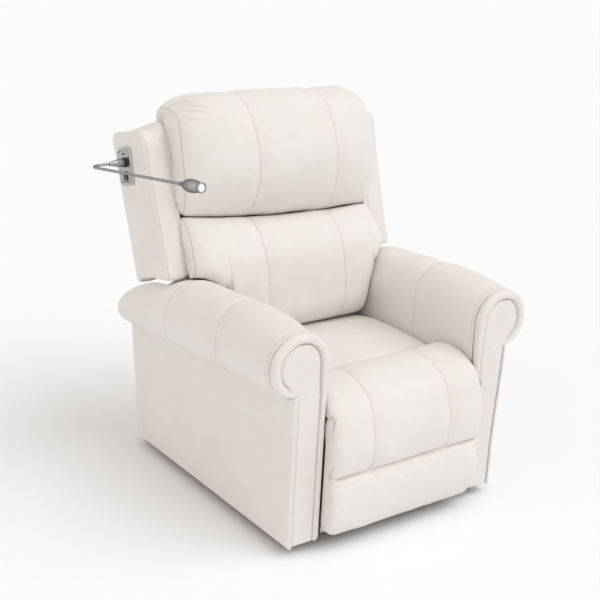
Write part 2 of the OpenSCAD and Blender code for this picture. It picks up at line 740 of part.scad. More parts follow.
// A plate with windows for rockers, standing on the plane z = 0
module rocker_window(l, h, t) {
    translate([-l / 2 - rocker_gap, -h / 2 - rocker_gap, -over])
        cube([l + 2 * rocker_gap, h + 2 * rocker_gap, t + 2 * over]);
    translate([-l / 2 - over, 0, rocker_pivot]) rotate([0, 90, 0])
        cylinder(r = rocker_axle_r + run_gap, h = l + 2 * over);
}
// A rocker with its axle along x, its pivot above the plane z = 0
module rocker(l, h) {
    translate([-l / 2 - over + axle_gap, 0, rocker_pivot]) rotate([0, 90, 0])
        cylinder(r = rocker_axle_r, h = l + 2 * (over - axle_gap));
    translate([-l / 2, -h / 2, rocker_pivot + rocker_sink]) cube([l, h, rocker_cap_t]);
    translate([-l / 2, -rocker_axle_r, rocker_pivot]) cube([l, 2 * rocker_axle_r, rocker_sink]);
}
module on_arm(u, z) {
    translate([-ctrl_in, -u, z]) rotate([90, 0, 90]) children();
}
module control_plate() {
    color(black_c) difference() {
        on_arm(ctrl_u, ctrl_z) linear_extrude(height = ctrl_t) round_rect(ctrl_l, ctrl_h, ctrl_corner);
        for (u = rocker_us) on_arm(u, ctrl_z) rocker_window(rocker_l, rocker_h, ctrl_t);
    }
}
module back_switch() { color(steel_c) on_arm(rocker_us[0], ctrl_z) rocker(rocker_l, rocker_h); }
module footrest_switch() { color(steel_c) on_arm(rocker_us[1], ctrl_z) rocker(rocker_l, rocker_h); }

// Footrest linkage
module drive_tube() {
    color(steel_c) difference() {
        bar_x(tube_p, tube_r, -plate_out + spacer_gap, plate_out - spacer_gap);
        bar_x(tube_p, tube_r - tube_wall, -plate_out - over, plate_out + over);
    }
}
slot_w = 10;
crank_wall = 7;
lift_rest = -90 - lift_angle / 2;
slot_near = lift_crank_r * cos(lift_angle / 2) + actuator_pin_r - open_gap;
slot_far = lift_crank_r - actuator_pin_r + open_gap;
module drive_links() {
    color(steel_c) {
        both() side(link_mid, link_out) difference() {
            union() {
                stadium(tube_p, knee, drive_w);
                translate(tube_p) circle(drive_hub_r);
            }
            hole(tube_p, tube_r);
            hole(knee, rivet_r);
            hole(knee_level, rivet_r);
        }
        side(-crank_x - crank_t / 2, -crank_x + crank_t / 2) difference() {
            stadium(tube_p, tube_p + slot_far * dir(lift_rest), slot_w + crank_wall);
            hole(tube_p, tube_r);
            stadium(tube_p + slot_near * dir(lift_rest), tube_p + slot_far * dir(lift_rest), slot_w);
        }
    }
}
// A rivet through both link layers
module rivet(p) {
    bar_x(p, rivet_r, head_in, link_out + outer_head_t);
    bar_x(p, rivet_head_r, head_in, head_out);
    bar_x(p, rivet_head_r, inner_out + spacer_gap, link_mid);
    bar_x(p, rivet_head_r, link_out, link_out + outer_head_t);
}
module drive_link_rivets() { color(nickel_c) both() for (p = [knee, knee_level]) rivet(p); }
module guide_links() {
    color(steel_c) both() side(link_mid, link_out) difference() {
        stadium(guide_root, knee_guide, guide_w);
        hole(guide_root, rivet_r + run_gap);
        hole(knee_guide, rivet_r);
    }
}
module guide_link_rivets() { color(nickel_c) both() rivet(knee_guide); }
module thrust_links() {
    color(steel_c) both() side(inner_in, inner_out) difference() {
        stadium(knee, pad_pin, thrust_w);
        hole(knee, rivet_r + run_gap);
        hole(pad_pin, rivet_r + run_gap);
        hole(knee_guide, rivet_r + open_gap);
    }
}
module levelling_links() {
    color(steel_c) both() side(inner_in, inner_out) difference() {
        stadium(knee_level, pad_level, level_w);
        hole(knee_level, rivet_r + run_gap);
        hole(pad_level, rivet_r + open_gap);
    }
}
bracket_w = 12;
flange_t = 2.6;
flange_under = 25;
flange_foot = pad_pin[1] - flange_under;
flange_over = 35;
flange_top = pad_level[1] + flange_over;
flange_in = half_seat - 45;
module footrest_brackets() {
    color(steel_c) both() {
        side(link_mid, link_out) difference() {
            union() {
                stadium(pad_pin, pad_level, bracket_w);
                polygon([pad_pin - [0, bracket_w], [board_u, pad_pin[1] - bracket_w],
                    [board_u, pad_level[1] + bracket_w], pad_level + [0, bracket_w]]);
            }
            hole(pad_pin, rivet_r);
            hole(pad_level, rivet_r);
        }
        block(flange_in, link_out, board_u - flange_t, board_u, flange_foot, flange_top);
    }
}
board_half = half_seat - 20;
board_foot = 8;
board_drop = 20;
module footrest_board() {
    color(wood_c) block(-board_half, board_half, board_u, pad_rear_u, rest_gap + board_foot,
        split_p[1] - board_drop);
}
module footrest_pad() {
    color(leather_c) loft([for (x = both_ways(across(seat_half, stitch_x, stitch_spread, roll_edge)))
        pad_ring(x)]);
}
module footrest_rivets() { color(nickel_c) both() for (p = [pad_pin, pad_level]) rivet(p); }

// Back
low_rail = [75, 105];
mid_rail = [380, 410];
rail_top_h = 30;
module back_frame() {
    color(wood_c) on_back() {
        both() block(upright_in, link_mid, -upright_d, 0, upright_foot, back_h);
        block(-upright_in, upright_in, -upright_d, 0, low_rail[0], low_rail[1]);
        for (v = [mid_rail[0], back_h - rail_top_h]) {
            block(-upright_in, upright_in, -upright_d, 0, v, v + rail_top_h);
            both() block(link_mid, wing_board_in, -upright_d, 0, v, v + rail_top_h);
        }
        both() side(wing_board_in, wing_board_in + board_t) polygon(wing_outline(6));
    }
}
back_spring_vs = [170, 240, 310, 460, 530, 600];
module back_springs() {
    color(steel_c) on_back() for (v = back_spring_vs)
        translate([-upright_in, 2 * spring_t, v]) rotate([90, 0, 0])
            linear_extrude(height = spring_t) zigzag(2 * upright_in);
}
ear_r = pin_r + 10;
ear_rise = 60;
module back_brackets() {
    color(steel_c) on_back() both() side(link_mid, link_out) difference() {
        union() {
            circle(ear_r);
            polygon([[-ear_r, 0], [ear_r, 0], [0, ear_rise], [0, 2 * ear_rise],
                [-2 * ear_r, 2 * ear_rise], [-2 * ear_r, ear_rise]]);
        }
        circle(pin_r + run_gap);
    }
}
recline_dir = -90 - recline_angle / 2 - back_lean;
recline_near = recline_crank_r * cos(recline_angle / 2) + open_gap;
recline_far = recline_crank_r - open_gap;
recline_slot_w = 6;
crank_w = 18;
crank_root = 50;
foot_t = 4;
foot_half = 20;
module recline_crank() {
    color(steel_c) on_back() {
        side(crank_x - crank_t / 2, crank_x + crank_t / 2) difference() {
            union() {
                stadium([-upright_d / 2, crank_root], recline_far * dir(recline_dir), crank_w);
                polygon([[-upright_d / 2 - crank_w, crank_root], [-upright_d / 2 + crank_w, crank_root],
                    [-upright_d / 2 + crank_w, low_rail[0] - foot_t],
                    [-upright_d / 2 - crank_w, low_rail[0] - foot_t]]);
            }
            stadium(recline_near * dir(recline_dir), recline_far * dir(recline_dir), recline_slot_w);
        }
        block(crank_x - foot_half, crank_x + foot_half, -upright_d, 0, low_rail[0] - foot_t, low_rail[0]);
    }
}
module back_cover() {
    color(leather_c) on_back() {
        block(-narrow_half, narrow_half, -wing_rear, -upright_d, cover_foot, shoulder_v);
        block(-wing_board_in + soft_gap, wing_board_in - soft_gap, -wing_rear, -upright_d,
            shoulder_v, back_h);
    }
}
module lumbar_cushion() {
    color(leather_c) on_back() loft([for (x = both_ways(concat(
        [for (s = across(narrow_half, back_stitch_x, stitch_spread, lumbar_station))
            if (s < narrow_half - side_clear) s], [narrow_half, narrow_half + side_clear],
        [for (k = [3.3, 1.65, 1, 0.5, 0.1, 0]) back_half - k * lumbar_edge]))) lumbar_ring(x)]);
}
module head_cushion() {
    color(leather_c) on_back() loft([for (x = both_ways(across(back_half, back_stitch_x,
        stitch_spread, head_station))) head_ring(x)]);
}
module left_wing() { color(leather_c) wing_pad(); }
module right_wing() { color(leather_c) mirror([1, 0, 0]) wing_pad(); }

// Reading lamp on the sitter's right wing
lamp_n = 20;
lamp_v = 585;
lamp_turn = 6;
plate_w = 70;
plate_h = 95;
plate_corner = 9;
plate_step = 6;
lamp_base_t = 6;
lamp_step_t = 2;
socket_at = [8, 12];
socket_r = 14;
socket_h = 8;
swivel_r = 4;
lamp_switch_at = [0, -26];
lamp_switch = [20, 24];
lamp_switch_up = 3;
lamp_p = hinge_p + turned([lamp_n, lamp_v], back_lean) + turned(socket_at, back_lean - lamp_turn);
module on_lamp_plate() {
    translate([-wing_out, -hinge_p[0], hinge_p[1]]) rotate([-back_lean, 0, 0])
        translate([0, -lamp_n, lamp_v]) rotate([lamp_turn, 0, 0]) rotate([90, 0, -90]) children();
}
module lamp_plate() {
    color(nickel_c) difference() {
        on_lamp_plate() union() {
            linear_extrude(height = lamp_base_t) round_rect(plate_w, plate_h, plate_corner);
            linear_extrude(height = lamp_base_t + lamp_step_t) round_rect(plate_w - 2 * plate_step, plate_h - 2 * plate_step, plate_step);
        }
        on_lamp_plate() translate(concat(lamp_switch_at, [lamp_switch_up]))
            rocker_window(lamp_switch[0], lamp_switch[1], lamp_base_t + lamp_step_t);
    }
}
module lamp_rocker() {
    color(black_c) on_lamp_plate() translate(concat(lamp_switch_at, [lamp_switch_up]))
        rocker(lamp_switch[0], lamp_switch[1]);
}
module lamp_socket() {
    color(black_c) on_lamp_plate() translate(concat(socket_at, [lamp_base_t + lamp_step_t]))
        difference() {
            cylinder(r = socket_r, h = socket_h);
            translate([0, 0, over / 2]) cylinder(r = swivel_r + run_gap, h = socket_h);
        }
}
// The lamp's own line starts at the plate and runs along -X
lamp_x0 = -wing_out - lamp_base_t - lamp_step_t;
lamp_rise = 6;
lamp_inward = 6.4;
neck_bend_r = 35;
collar_l = 61;
neck_out = 85;
neck_set_back = 8;
neck_in = 20;
swivel_foot = 1.5;
// Collar: (radius, distance from the plate) from its seat on the socket to its tip
collar_lines = [[11, 8.3], [11.5, 12], [11.5, 24], [9.5, 27], [9.5, 32], [7, 44], [6, 46], [6, 53]];
module on_lamp() {
    s = lamp_p;
    translate([lamp_x0, -s[0], s[1]]) rotate([-lamp_rise, 0, 0]) rotate([0, -90, 0]) children();
}
module lamp_collar() {
    color(nickel_c) on_lamp() difference() {
        rotate_extrude() polygon(concat([[0, swivel_foot], [swivel_r, swivel_foot],
            [swivel_r, collar_lines[0][1]]], collar_lines, [[0, collar_lines[7][1]]]));
        translate([0, 0, collar_l - neck_in]) cylinder(r = neck_r, h = neck_in);
    }
}
neck_turn = 90 + lamp_inward;
// A ring of the neck round a point of its middle line, turned with the bend
function neck_ring(y, z, a) = [for (k = [0:11])
    [neck_r * cos(k * 30), y + neck_r * sin(k * 30) * cos(a), z + neck_r * sin(k * 30) * sin(a)]];
module lamp_neck() {
    c = neck_out - neck_set_back;
    r = neck_bend_r;
    end = [-r + r * cos(neck_turn), c + r * sin(neck_turn)] + neck_run * [-sin(neck_turn), cos(neck_turn)];
    color(nickel_c) on_lamp() loft(concat([neck_ring(0, collar_l - neck_in, 0)],
        [for (k = [0:8]) let(a = neck_turn * k / 8) neck_ring(-r + r * cos(a), c + r * sin(a), a)],
        [neck_ring(end[0], end[1], neck_turn)]));
}
module on_neck_run() {
    translate([0, -neck_bend_r + neck_bend_r * cos(neck_turn), neck_out - neck_set_back + neck_bend_r * sin(neck_turn)])
        rotate([neck_turn, 0, 0]) children();
}
lens_r = 14;
lens_t = 3;
lens_in = 3;
// Head: (radius, distance from the neck's end)
head_foot_lines = [[6, 0], [7, 8], [7, 16], [12, 22], [15.5, 30], [17.5, 40]];
head_round = [[0, 45], [0, 12], [1, 3], [2, 0]];
module lamp_head() {
    color(nickel_c) on_lamp() on_neck_run() translate([0, 0, neck_run]) difference() {
        rotate_extrude() polygon(concat([[0, 0]], head_foot_lines,
            [for (p = head_round) [head_r - p[0], head_len - p[1]]], [[0, head_len]]));
        translate([0, 0, head_len - lens_in - lens_t]) cylinder(r = lens_r, h = lens_in + lens_t + over);
    }
}
module lamp_lens() {
    color([0.98, 0.97, 0.9]) on_lamp() on_neck_run()
        translate([0, 0, neck_run + head_len - lens_in - lens_t]) cylinder(r = lens_r, h = lens_t);
}

floor_skids();
floor_cross_tube();
skid_end_caps();
frame_legs();
side_plates();
frame_fasteners();
drive_tube_bushes();
seat_frame();
seat_springs();
seat_cushion();
seat_front_roll();
left_arm_frame();
right_arm_frame();
left_side_panel();
right_side_panel();
inner_arm_panels();
left_arm_roll();
right_arm_roll();
left_arm_band();
right_arm_band();
left_front_panel();
right_front_panel();
rear_skirt();
footrest_motor();
recline_motor();
motor_rails();
power_supply();
power_inlet();
control_plate();
back_switch();
footrest_switch();
drive_tube();
drive_links();
drive_link_rivets();
guide_links();
guide_link_rivets();
thrust_links();
levelling_links();
footrest_brackets();
footrest_board();
footrest_pad();
footrest_rivets();
footrest_drive_block();
recline_drive_block();
back_frame();
back_springs();
back_brackets();
recline_crank();
back_cover();
lumbar_cushion();
head_cushion();
left_wing();
right_wing();
lamp_plate();
lamp_socket();
lamp_collar();
lamp_neck();
lamp_head();
lamp_lens();
lamp_rocker();
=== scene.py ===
"""Power recliner chair: the covers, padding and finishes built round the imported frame.

Lengths in the shape functions are in millimetres. The chair faces -Y: "ahead" is -Y, "up" is +Z,
and the back leans about its hinge. Every piece ends as a mesh in metres, in the frame's own place.
"""

import math

import bmesh
import bpy
import numpy as np
from mathutils import Matrix


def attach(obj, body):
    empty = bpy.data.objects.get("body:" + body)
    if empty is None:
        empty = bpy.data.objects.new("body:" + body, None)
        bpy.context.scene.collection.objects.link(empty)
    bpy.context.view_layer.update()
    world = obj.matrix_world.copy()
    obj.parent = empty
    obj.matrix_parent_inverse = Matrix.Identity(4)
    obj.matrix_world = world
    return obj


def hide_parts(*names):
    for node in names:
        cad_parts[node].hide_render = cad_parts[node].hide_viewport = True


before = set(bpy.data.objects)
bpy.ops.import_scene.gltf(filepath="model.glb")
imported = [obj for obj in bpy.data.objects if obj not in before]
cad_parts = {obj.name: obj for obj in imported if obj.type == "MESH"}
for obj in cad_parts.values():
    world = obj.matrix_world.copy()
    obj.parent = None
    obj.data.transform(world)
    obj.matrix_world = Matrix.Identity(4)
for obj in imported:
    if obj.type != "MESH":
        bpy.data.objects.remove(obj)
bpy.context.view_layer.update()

# Sizes shared with the frame, in millimetres
BACK_LEAN = math.radians(21.5)
HINGE_AHEAD, HINGE_UP = -200.0, 330.0
SEAT_HALF, BACK_HALF = 258.0, 337.0
WING_IN, WING_OUT = 339.0, 405.0
WING_FRONT, WING_REAR, WING_FOOT, WING_TOP = 133.0, -54.0, 258.0, 694.0
ROLL_X, ROLL_R, ROLL_UP, ARM_FALL = 347.0, 89.0, 541.0, math.tan(math.radians(4.4))
ARM_FRONT, ROLL_START, ARM_REAR, FLOOR_GAP = 400.0, 378.0, -398.0, 26.0
REAR_SLOPE = 0.1377
ARC_R = 255.0            # arc round the hinge, between the arms' rear ends and the turning wings
SCROLL_R, BAND_R, BAND_AHEAD = 62.0, 75.25, 391.5
ARM_INSIDE, INSIDE_FOOT = 261.9, 412.0

# Stitch lines of the cushions, and places that several shapes share
STITCH, SEAT_STITCH, BOX_LINE = 137.0, 132.0, 330.0
CROSS_SEAMS = (130.0, -130.0)
CROWN = 28               # how far the arms swell over the middle
SPLIT_CORE = (380, 330)  # what the seat's front roll and the footrest's pad are drawn in towards
REAR_SHARE = 0.963       # width of a back cushion's rear as a share of its front
SIDE_LONG, SIDE_TALL = 800.0, 430.0
PLAIN = 90.0             # distance to a seam where there is none
CAP_SHARES = (0.93, 0.78, 0.5, 0.2, 0.0)


# ---------------------------------------------------------------- shapes

def chair_points(x, ahead, up):
    """Millimetres across, ahead and up become metres in the row frame: (x, -ahead, up) / 1000."""
    return np.stack(np.broadcast_arrays(x, -np.asarray(ahead), up), -1) * 0.001


def back_points(x, front, high):
    """Points measured from the leaning back's hinge: front is turned by the lean towards up,
    high is turned by the lean towards the rear."""
    c, s = math.cos(BACK_LEAN), math.sin(BACK_LEAN)
    return chair_points(x, HINGE_AHEAD + front * c - high * s, HINGE_UP + front * s + high * c)


def ease(t):
    """0 to 1 along t squared times (3 minus 2 t)."""
    t = np.clip(t, 0.0, 1.0)
    return t * t * (3 - 2 * t)


def bell(d, width):
    """exp(-(d / width) squared)."""
    return np.exp(-(d / width) ** 2)


def quarter(d, reach):
    """A quarter circle: 0 where d is nought, 1 from its reach on."""
    return np.sqrt(np.clip(1 - (1 - np.clip(d / reach, 0, 1)) ** 2, 0, 1))


def round_off(x, half, edge):
    """How far a quarter circle of radius edge falls back near plus and minus half."""
    d = np.clip(np.abs(x) - (half - edge), 0, edge)
    return edge - np.sqrt(np.maximum(0, edge**2 - d**2))


def smooth_line(knots, count):
    """A curve through the knots: cubic pieces whose slopes at the knots are those of their neighbours,
    sampled evenly along the chords."""
    k = np.asarray(knots, float)
    t = np.concatenate([[0], np.cumsum(np.linalg.norm(np.diff(k, axis=0), axis=1))])
    slope = np.gradient(k, t, axis=0)
    s = np.linspace(0, t[-1], count)
    i = np.clip(np.searchsorted(t, s, side="right") - 1, 0, len(t) - 2)
    h = (t[i + 1] - t[i])[:, None]
    q = (s - t[i])[:, None] / h
    return ((2 * q**3 - 3 * q**2 + 1) * k[i] + (q**3 - 2 * q**2 + q) * h * slope[i]
            + (3 * q**2 - 2 * q**3) * k[i + 1] + (q**3 - q**2) * h * slope[i + 1])


def crowded(low, high, count, places, reach, gain):
    """Places from low to high, closer together near the given ones: equal steps of the running sum
    of 1 + gain * bell(distance, reach)."""
    s = np.linspace(low, high, 4001)
    weight = 1 + gain * np.exp(-((s[:, None] - np.asarray(places, float)) / reach) ** 2).sum(1)
    run = np.concatenate([[0], np.cumsum((weight[1:] + weight[:-1]) / 2)])
    return np.interp(np.linspace(0, run[-1], count), run, s)


def spread(x, line):
    """Grids with x down the rows, and with each column of a line along them."""
    X = x[:, None] + 0 * line[:, 0]
    return (X, *(line[:, k] + 0 * X for k in range(line.shape[1])))


def swept(x, line):
    """A side outline of (ahead, up) repeated at each x."""
    return chair_points(x[:, None], line[:, 0], line[:, 1])


def between(first, last, shares):
    """Points on the straight way from one column of points to another, at these shares of it."""
    return first + (last - first) * np.asarray(shares)[None, :, None]


def arc_length(points):
    """Running length along the second axis of a grid of points, in millimetres."""
    step = np.linalg.norm(np.diff(points, axis=1), axis=-1)
    return np.concatenate([np.zeros((len(points), 1)), np.cumsum(step, 1)], 1) * 1000


def two_tone(x, lines):
    """Signed distance to the nearest of the lines at plus and minus each place, changing sign at each,
    so that it has no jump between them."""
    a = np.abs(x)[..., None]
    places = np.asarray(lines, float)
    sign = np.where(np.arange(len(places)) % 2 == 0, -1.0, 1.0)
    nearest = np.abs(a - places).argmin(-1)[..., None]
    return np.take_along_axis((a - places) * sign, nearest, -1)[..., 0]


def folds(a, b, marks):
    """Creases of a cover. Each mark is (a, b, direction in degrees, length, width, height): a bell along
    the direction times a narrow bell less 0.6 of one 1.8 times as wide across it."""
    m = np.asarray(marks, float)
    da, db = a[..., None] - m[:, 0], b[..., None] - m[:, 1]
    c, s = np.cos(np.radians(m[:, 2])), np.sin(np.radians(m[:, 2]))
    along, across = da * c + db * s, db * c - da * s
    ridge = bell(across, m[:, 4]) - 0.6 * bell(across, 1.8 * m[:, 4])
    return (m[:, 5] * bell(along, m[:, 3]) * ridge).sum(-1)


def on_side(e, marks):
    """Marks on one side of the chair: their place across and their direction change sign with e."""
    return [(e * a, b, e * turn, *size) for a, b, turn, *size in marks]


def both_sides(marks):
    return on_side(-1, marks) + on_side(1, marks)


def lumps(a, b, size, seed):
    """Soft unevenness of padding: the mean of nine waves of about this size in seeded directions."""
    rng = np.random.default_rng(seed)
    way, phase = rng.uniform(0, 2 * np.pi, (2, 9))
    pitch = 2 * np.pi / (size * rng.uniform(0.7, 1.6, 9))
    return np.sin((a[..., None] * np.cos(way) + b[..., None] * np.sin(way)) * pitch + phase).mean(-1)


def pushed(points, height, centre):
    """Moves a grid of points by a height in millimetres along its normals, which are the cross product
    of its two differences, away from the centre."""
    n = np.cross(np.gradient(points, axis=0), np.gradient(points, axis=1))
    n = n / np.maximum(np.linalg.norm(n, axis=-1, keepdims=True), 1e-12)
    away = ((points - centre) * n).sum(-1).mean() > 0
    return points + (1.0 if away else -1.0) * n * height[..., None] * 0.001


def ends_closed(rings, fields=(), shares=CAP_SHARES, swell=0.0):
    """Adds rings drawn in to the middle at both ends of a row of closed rings, swelling out by
    swell * (1 - share squared), and repeats the fields on them."""
    def cap(ring, step):
        middle = ring.mean(0)
        way = step / np.linalg.norm(step)
        return np.stack([middle + (ring - middle) * k + way * swell * 0.001 * (1 - k * k) for k in shares])
    first = cap(rings[0], (rings[0] - rings[1]).mean(0))[::-1]
    last = cap(rings[-1], (rings[-1] - rings[-2]).mean(0))
    n = len(shares)
    return (np.concatenate([first, rings, last]),
            [np.concatenate([np.repeat(f[:1], n, 0), f, np.repeat(f[-1:], n, 0)]) for f in fields])


def grid_faces(rows, cols):
    """Four-sided faces of a grid of points whose last column joins the first."""
    index = np.arange(rows * cols).reshape(rows, cols)
    index = np.concatenate([index, index[:, :1]], 1)
    return np.stack([index[:-1, :-1], index[:-1, 1:], index[1:, 1:], index[1:, :-1]], -1).reshape(-1, 4)


def put_grids(name, grids, fields=(), merge=2e-5):
    """Makes one object of grids of closed rings, with float fields on its vertices, joins doubled points
    and turns the faces outwards."""
    faces, start = [], 0
    for g in grids:
        faces.append(grid_faces(*g.shape[:2]) + start)
        start += g.shape[0] * g.shape[1]
    mesh = bpy.data.meshes.new(name)
    mesh.from_pydata(np.concatenate([g.reshape(-1, 3) for g in grids]).tolist(), [],
                     np.concatenate(faces).tolist())
    for label, values in fields:
        mesh.attributes.new(label, "FLOAT", "POINT").data.foreach_set(
            "value", np.ascontiguousarray(values, np.float32).ravel())
    work = bmesh.new()
    work.from_mesh(mesh)
    bmesh.ops.remove_doubles(work, verts=work.verts, dist=merge)
    bmesh.ops.dissolve_degenerate(work, edges=work.edges, dist=1e-7)
    bmesh.ops.recalc_face_normals(work, faces=work.faces)
    work.to_mesh(mesh)
    work.free()
    mesh.shade_smooth()
    piece = bpy.data.objects.new(name, mesh)
    bpy.context.scene.collection.objects.link(piece)
    return piece


def put_soft(name, outer, behind, seam, run, far=-PLAIN, side=1.0, shares=CAP_SHARES, swell=0.0, merge=2e-5):
    """A soft piece: a row of rings, each its sewn outside and its plain inside, closed at both ends. The
    outside has its distance to the nearest seam and its running length, the inside the distance far."""
    inside = np.full((len(outer), behind.shape[1]), far)
    fields = [np.concatenate([seam, inside], 1) * 0.001, np.concatenate([run, 0 * inside], 1) * 0.001]
    rings, fields = ends_closed(np.concatenate([outer, behind], 1), fields, shares, swell)
    rings[..., 0] *= side
    return put_grids(name, [rings], zip(("seam", "along"), fields), merge)


def finer(piece):
    """One more round of subdivision, the same when shown and when rendered."""
    m = piece.modifiers.new("finer", "SUBSURF")
    m.levels = m.render_levels = 1
    return piece


def finish_piece(piece, body, material, replaces=(), pad=None, slot="cream_leather"):
    """Gives a piece its material and its body and hides the nodes it stands for; its slot and its share of
    filling (pad) are not used.
    """
    piece.data.materials.clear()
    piece.data.materials.append(material)
    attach(piece, body)
    if replaces:
        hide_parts(*replaces)


# ---------------------------------------------------------------- finishes

class Wiring:
    """Short calls that add nodes to a tree and join them."""

    def __init__(self, tree):
        self.tree, self.nodes, self.count = tree, tree.nodes, 0

    def add(self, kind, **settings):
        node = self.nodes.new(kind if kind.startswith("Node") else "ShaderNode" + kind)
        self.count += 1
        node.location = (self.count % 9 * 190, -(self.count // 9) * 240)
        for key, value in settings.items():
            setattr(node, key, value)
        return node

    def feed(self, socket, value):
        if isinstance(value, bpy.types.NodeSocket):
            self.tree.links.new(value, socket)
        elif value is not None:
            socket.default_value = value

    def fill(self, node, **values):
        """Feeds named inputs; an underscore stands for a space."""
        for label, value in values.items():
            self.feed(node.inputs[label.replace("_", " ")], value)
        return next(iter(node.outputs), None)

    def math(self, operation, a, b=None):
        node = self.add("Math", operation=operation)
        for socket, value in zip(node.inputs, (a, b)):
            self.feed(socket, value)
        return node.outputs[0]

    def times(self, a, b):
        return self.math("MULTIPLY", a, b)

    def plus(self, a, b):
        return self.math("ADD", a, b)

    def less(self, a, b):
        return self.math("SUBTRACT", a, b)

    def ramp(self, value, low, high, to_low=0.0, to_high=1.0):
        """Map Range along the smooth step."""
        return self.fill(self.add("MapRange", interpolation_type="SMOOTHSTEP"), Value=value, From_Min=low,
                         From_Max=high, To_Min=to_low, To_Max=to_high)

    def falling(self, value, low, high):
        return self.less(1.0, self.ramp(value, low, high))

    def blend(self, amount, a, b):
        node = self.add("Mix", data_type="RGBA", blend_type="MIX")
        for k, value in ((0, amount), (6, a), (7, b)):
            self.feed(node.inputs[k], value)
        return node.outputs[2]

    def noise(self, place, scale, detail=2.0, rough=0.5, stretch=None):
        if stretch is not None:
            place = self.fill(self.add("Mapping"), Vector=place, Scale=stretch)
        return self.fill(self.add("TexNoise"), Vector=place, Scale=scale, Detail=detail, Roughness=rough)

    def group(self, tree, **values):
        node = self.add("Group")
        node.node_tree = tree
        self.fill(node, **values)
        return node.outputs


def new_group(name, inputs, outputs):
    """A shader node group with named number, colour and vector sockets, and its inside ends."""
    group = bpy.data.node_groups.new(name, "ShaderNodeTree")
    for label, kind, value in inputs:
        s = group.interface.new_socket(label, in_out="INPUT", socket_type="NodeSocket" + kind)
        if value is not None:
            s.default_value = value
    for label, kind in outputs:
        group.interface.new_socket(label, in_out="OUTPUT", socket_type="NodeSocket" + kind)
    w = Wiring(group)
    return group, w, w.add("NodeGroupInput").outputs, w.add("NodeGroupOutput")


def hide_grain():
    """Leather: cells about 1.4 mm wide with soft furrows between them, pores, and slow mottling."""
    group, w, take, give = new_group(
        "hide_grain",
        [("Place", "Vector", None), ("Tone", "Color", (0.8, 0.77, 0.73, 1)),
         ("Warm tone", "Color", (0.75, 0.7, 0.64, 1)), ("Cells", "Float", 700.0), ("Mottle", "Float", 0.4)],
        [("Colour", "Color"), ("Roughness", "Float"), ("Height", "Float")])
    bent = w.noise(take["Place"], 240.0, 2.0)
    shift = w.add("VectorMath", operation="MULTIPLY_ADD")
    for k, value in enumerate((bent, (0.0012, 0.0012, 0.0012), take["Place"])):
        w.feed(shift.inputs[k], value)
    cells = w.fill(w.add("TexVoronoi", feature="DISTANCE_TO_EDGE"), Vector=shift.outputs[0],
                   Scale=take["Cells"])
    furrow = w.ramp(cells, 0.0, 0.16)
    broad = w.noise(take["Place"], 5.5, 3.0)
    patch = w.noise(take["Place"], 28.0, 4.0, 0.6)
    mottle = w.times(w.ramp(w.plus(w.times(broad, 0.65), w.times(patch, 0.35)), 0.38, 0.64), take["Mottle"])
    colour = w.blend(mottle, take["Tone"], take["Warm tone"])
    w.fill(give, Colour=w.blend(w.times(w.less(1.0, furrow), 0.10), colour, (0.52, 0.45, 0.38, 1)),
           Roughness=w.plus(w.ramp(patch, 0.3, 0.7, 0.0, 0.06), w.ramp(furrow, 0.0, 1.0, 0.58, 0.50)),
           Height=w.plus(w.times(furrow, 0.7), w.times(patch, 0.6)))
    return group


def sewn_line():
    """A seam: a fold line where Seam is nought, and a row of stitches Offset beside it. Seam is the
    distance across in metres, Along the distance along. A stitch fills about 0.63 of each pitch."""
    group, w, take, give = new_group(
        "sewn_line",
        [("Seam", "Float", 1.0), ("Along", "Float", 0.0), ("Offset", "Float", 0.0035),
         ("Pitch", "Float", 0.0045)],
        [("Fold", "Float"), ("Thread", "Float"), ("Shade", "Float"), ("Height", "Float")])
    near = w.math("ABSOLUTE", take["Seam"])
    fold = w.falling(near, 0.0003, 0.0011)
    beside = w.math("ABSOLUTE", w.less(take["Seam"], take["Offset"]))
    step = w.math("FRACT", w.math("DIVIDE", take["Along"], take["Pitch"]))
    dash = w.falling(w.math("ABSOLUTE", w.less(step, 0.5)), 0.27, 0.36)
    thread = w.times(w.falling(beside, 0.00035, 0.0007), dash)
    pull = w.times(w.falling(beside, 0.0003, 0.0022), 0.5)
    # Shade is a painted shade that fades out over 6 mm from the fold.
    w.fill(give, Fold=fold, Thread=thread, Shade=w.falling(near, 0.0, 0.006),
           Height=w.less(thread, w.plus(fold, pull)))
    return group


def start_material(name):
    """A new material, its wiring, its shader and the place on the object."""
    m = bpy.data.materials.new(name)
    m.use_nodes = True
    w = Wiring(m.node_tree)
    return m, w, m.node_tree.nodes["Principled BSDF"], w.add("TexCoord").outputs["Object"]


def bump(w, shader, height, distance, strength, under=None):
    normal = w.fill(w.add("Bump"), Distance=distance, Strength=strength, Height=height, Normal=under)
    w.feed(shader.inputs["Normal"], normal)
    return normal


def leather(name, seams=False):
    """Cream cover leather; with seams, it also has the sewn lines of its own seam and along fields."""
    m, w, shader, place = start_material(name)
    grain = w.group(GRAIN, Place=place, Tone=(0.845, 0.818, 0.79, 1), Warm_tone=(0.80, 0.757, 0.712, 1))
    colour = grain["Colour"]
    normal = bump(w, shader, grain["Height"], 0.00022, 0.75)
    if seams:
        seam, along = (w.add("Attribute", attribute_name=n).outputs["Fac"] for n in ("seam", "along"))
        line = w.group(SEWN, Seam=seam, Along=along)
        # Shade paints a faint shade beside each seam; Fold is the seam's dark line and Thread its stitches.
        for mask, share, tone in (("Shade", 0.05, (0.66, 0.55, 0.45, 1)), ("Fold", 0.55, (0.46, 0.36, 0.27, 1)),
                                  ("Thread", 0.5, (0.80, 0.74, 0.66, 1))):
            colour = w.blend(w.times(line[mask], share), colour, tone)
        bump(w, shader, line["Height"], 0.0005, 0.6, normal)
    w.fill(shader, Base_Color=colour, Roughness=grain["Roughness"], Specular_IOR_Level=0.38, Sheen_Weight=0.06,
           Sheen_Roughness=0.4)
    return m


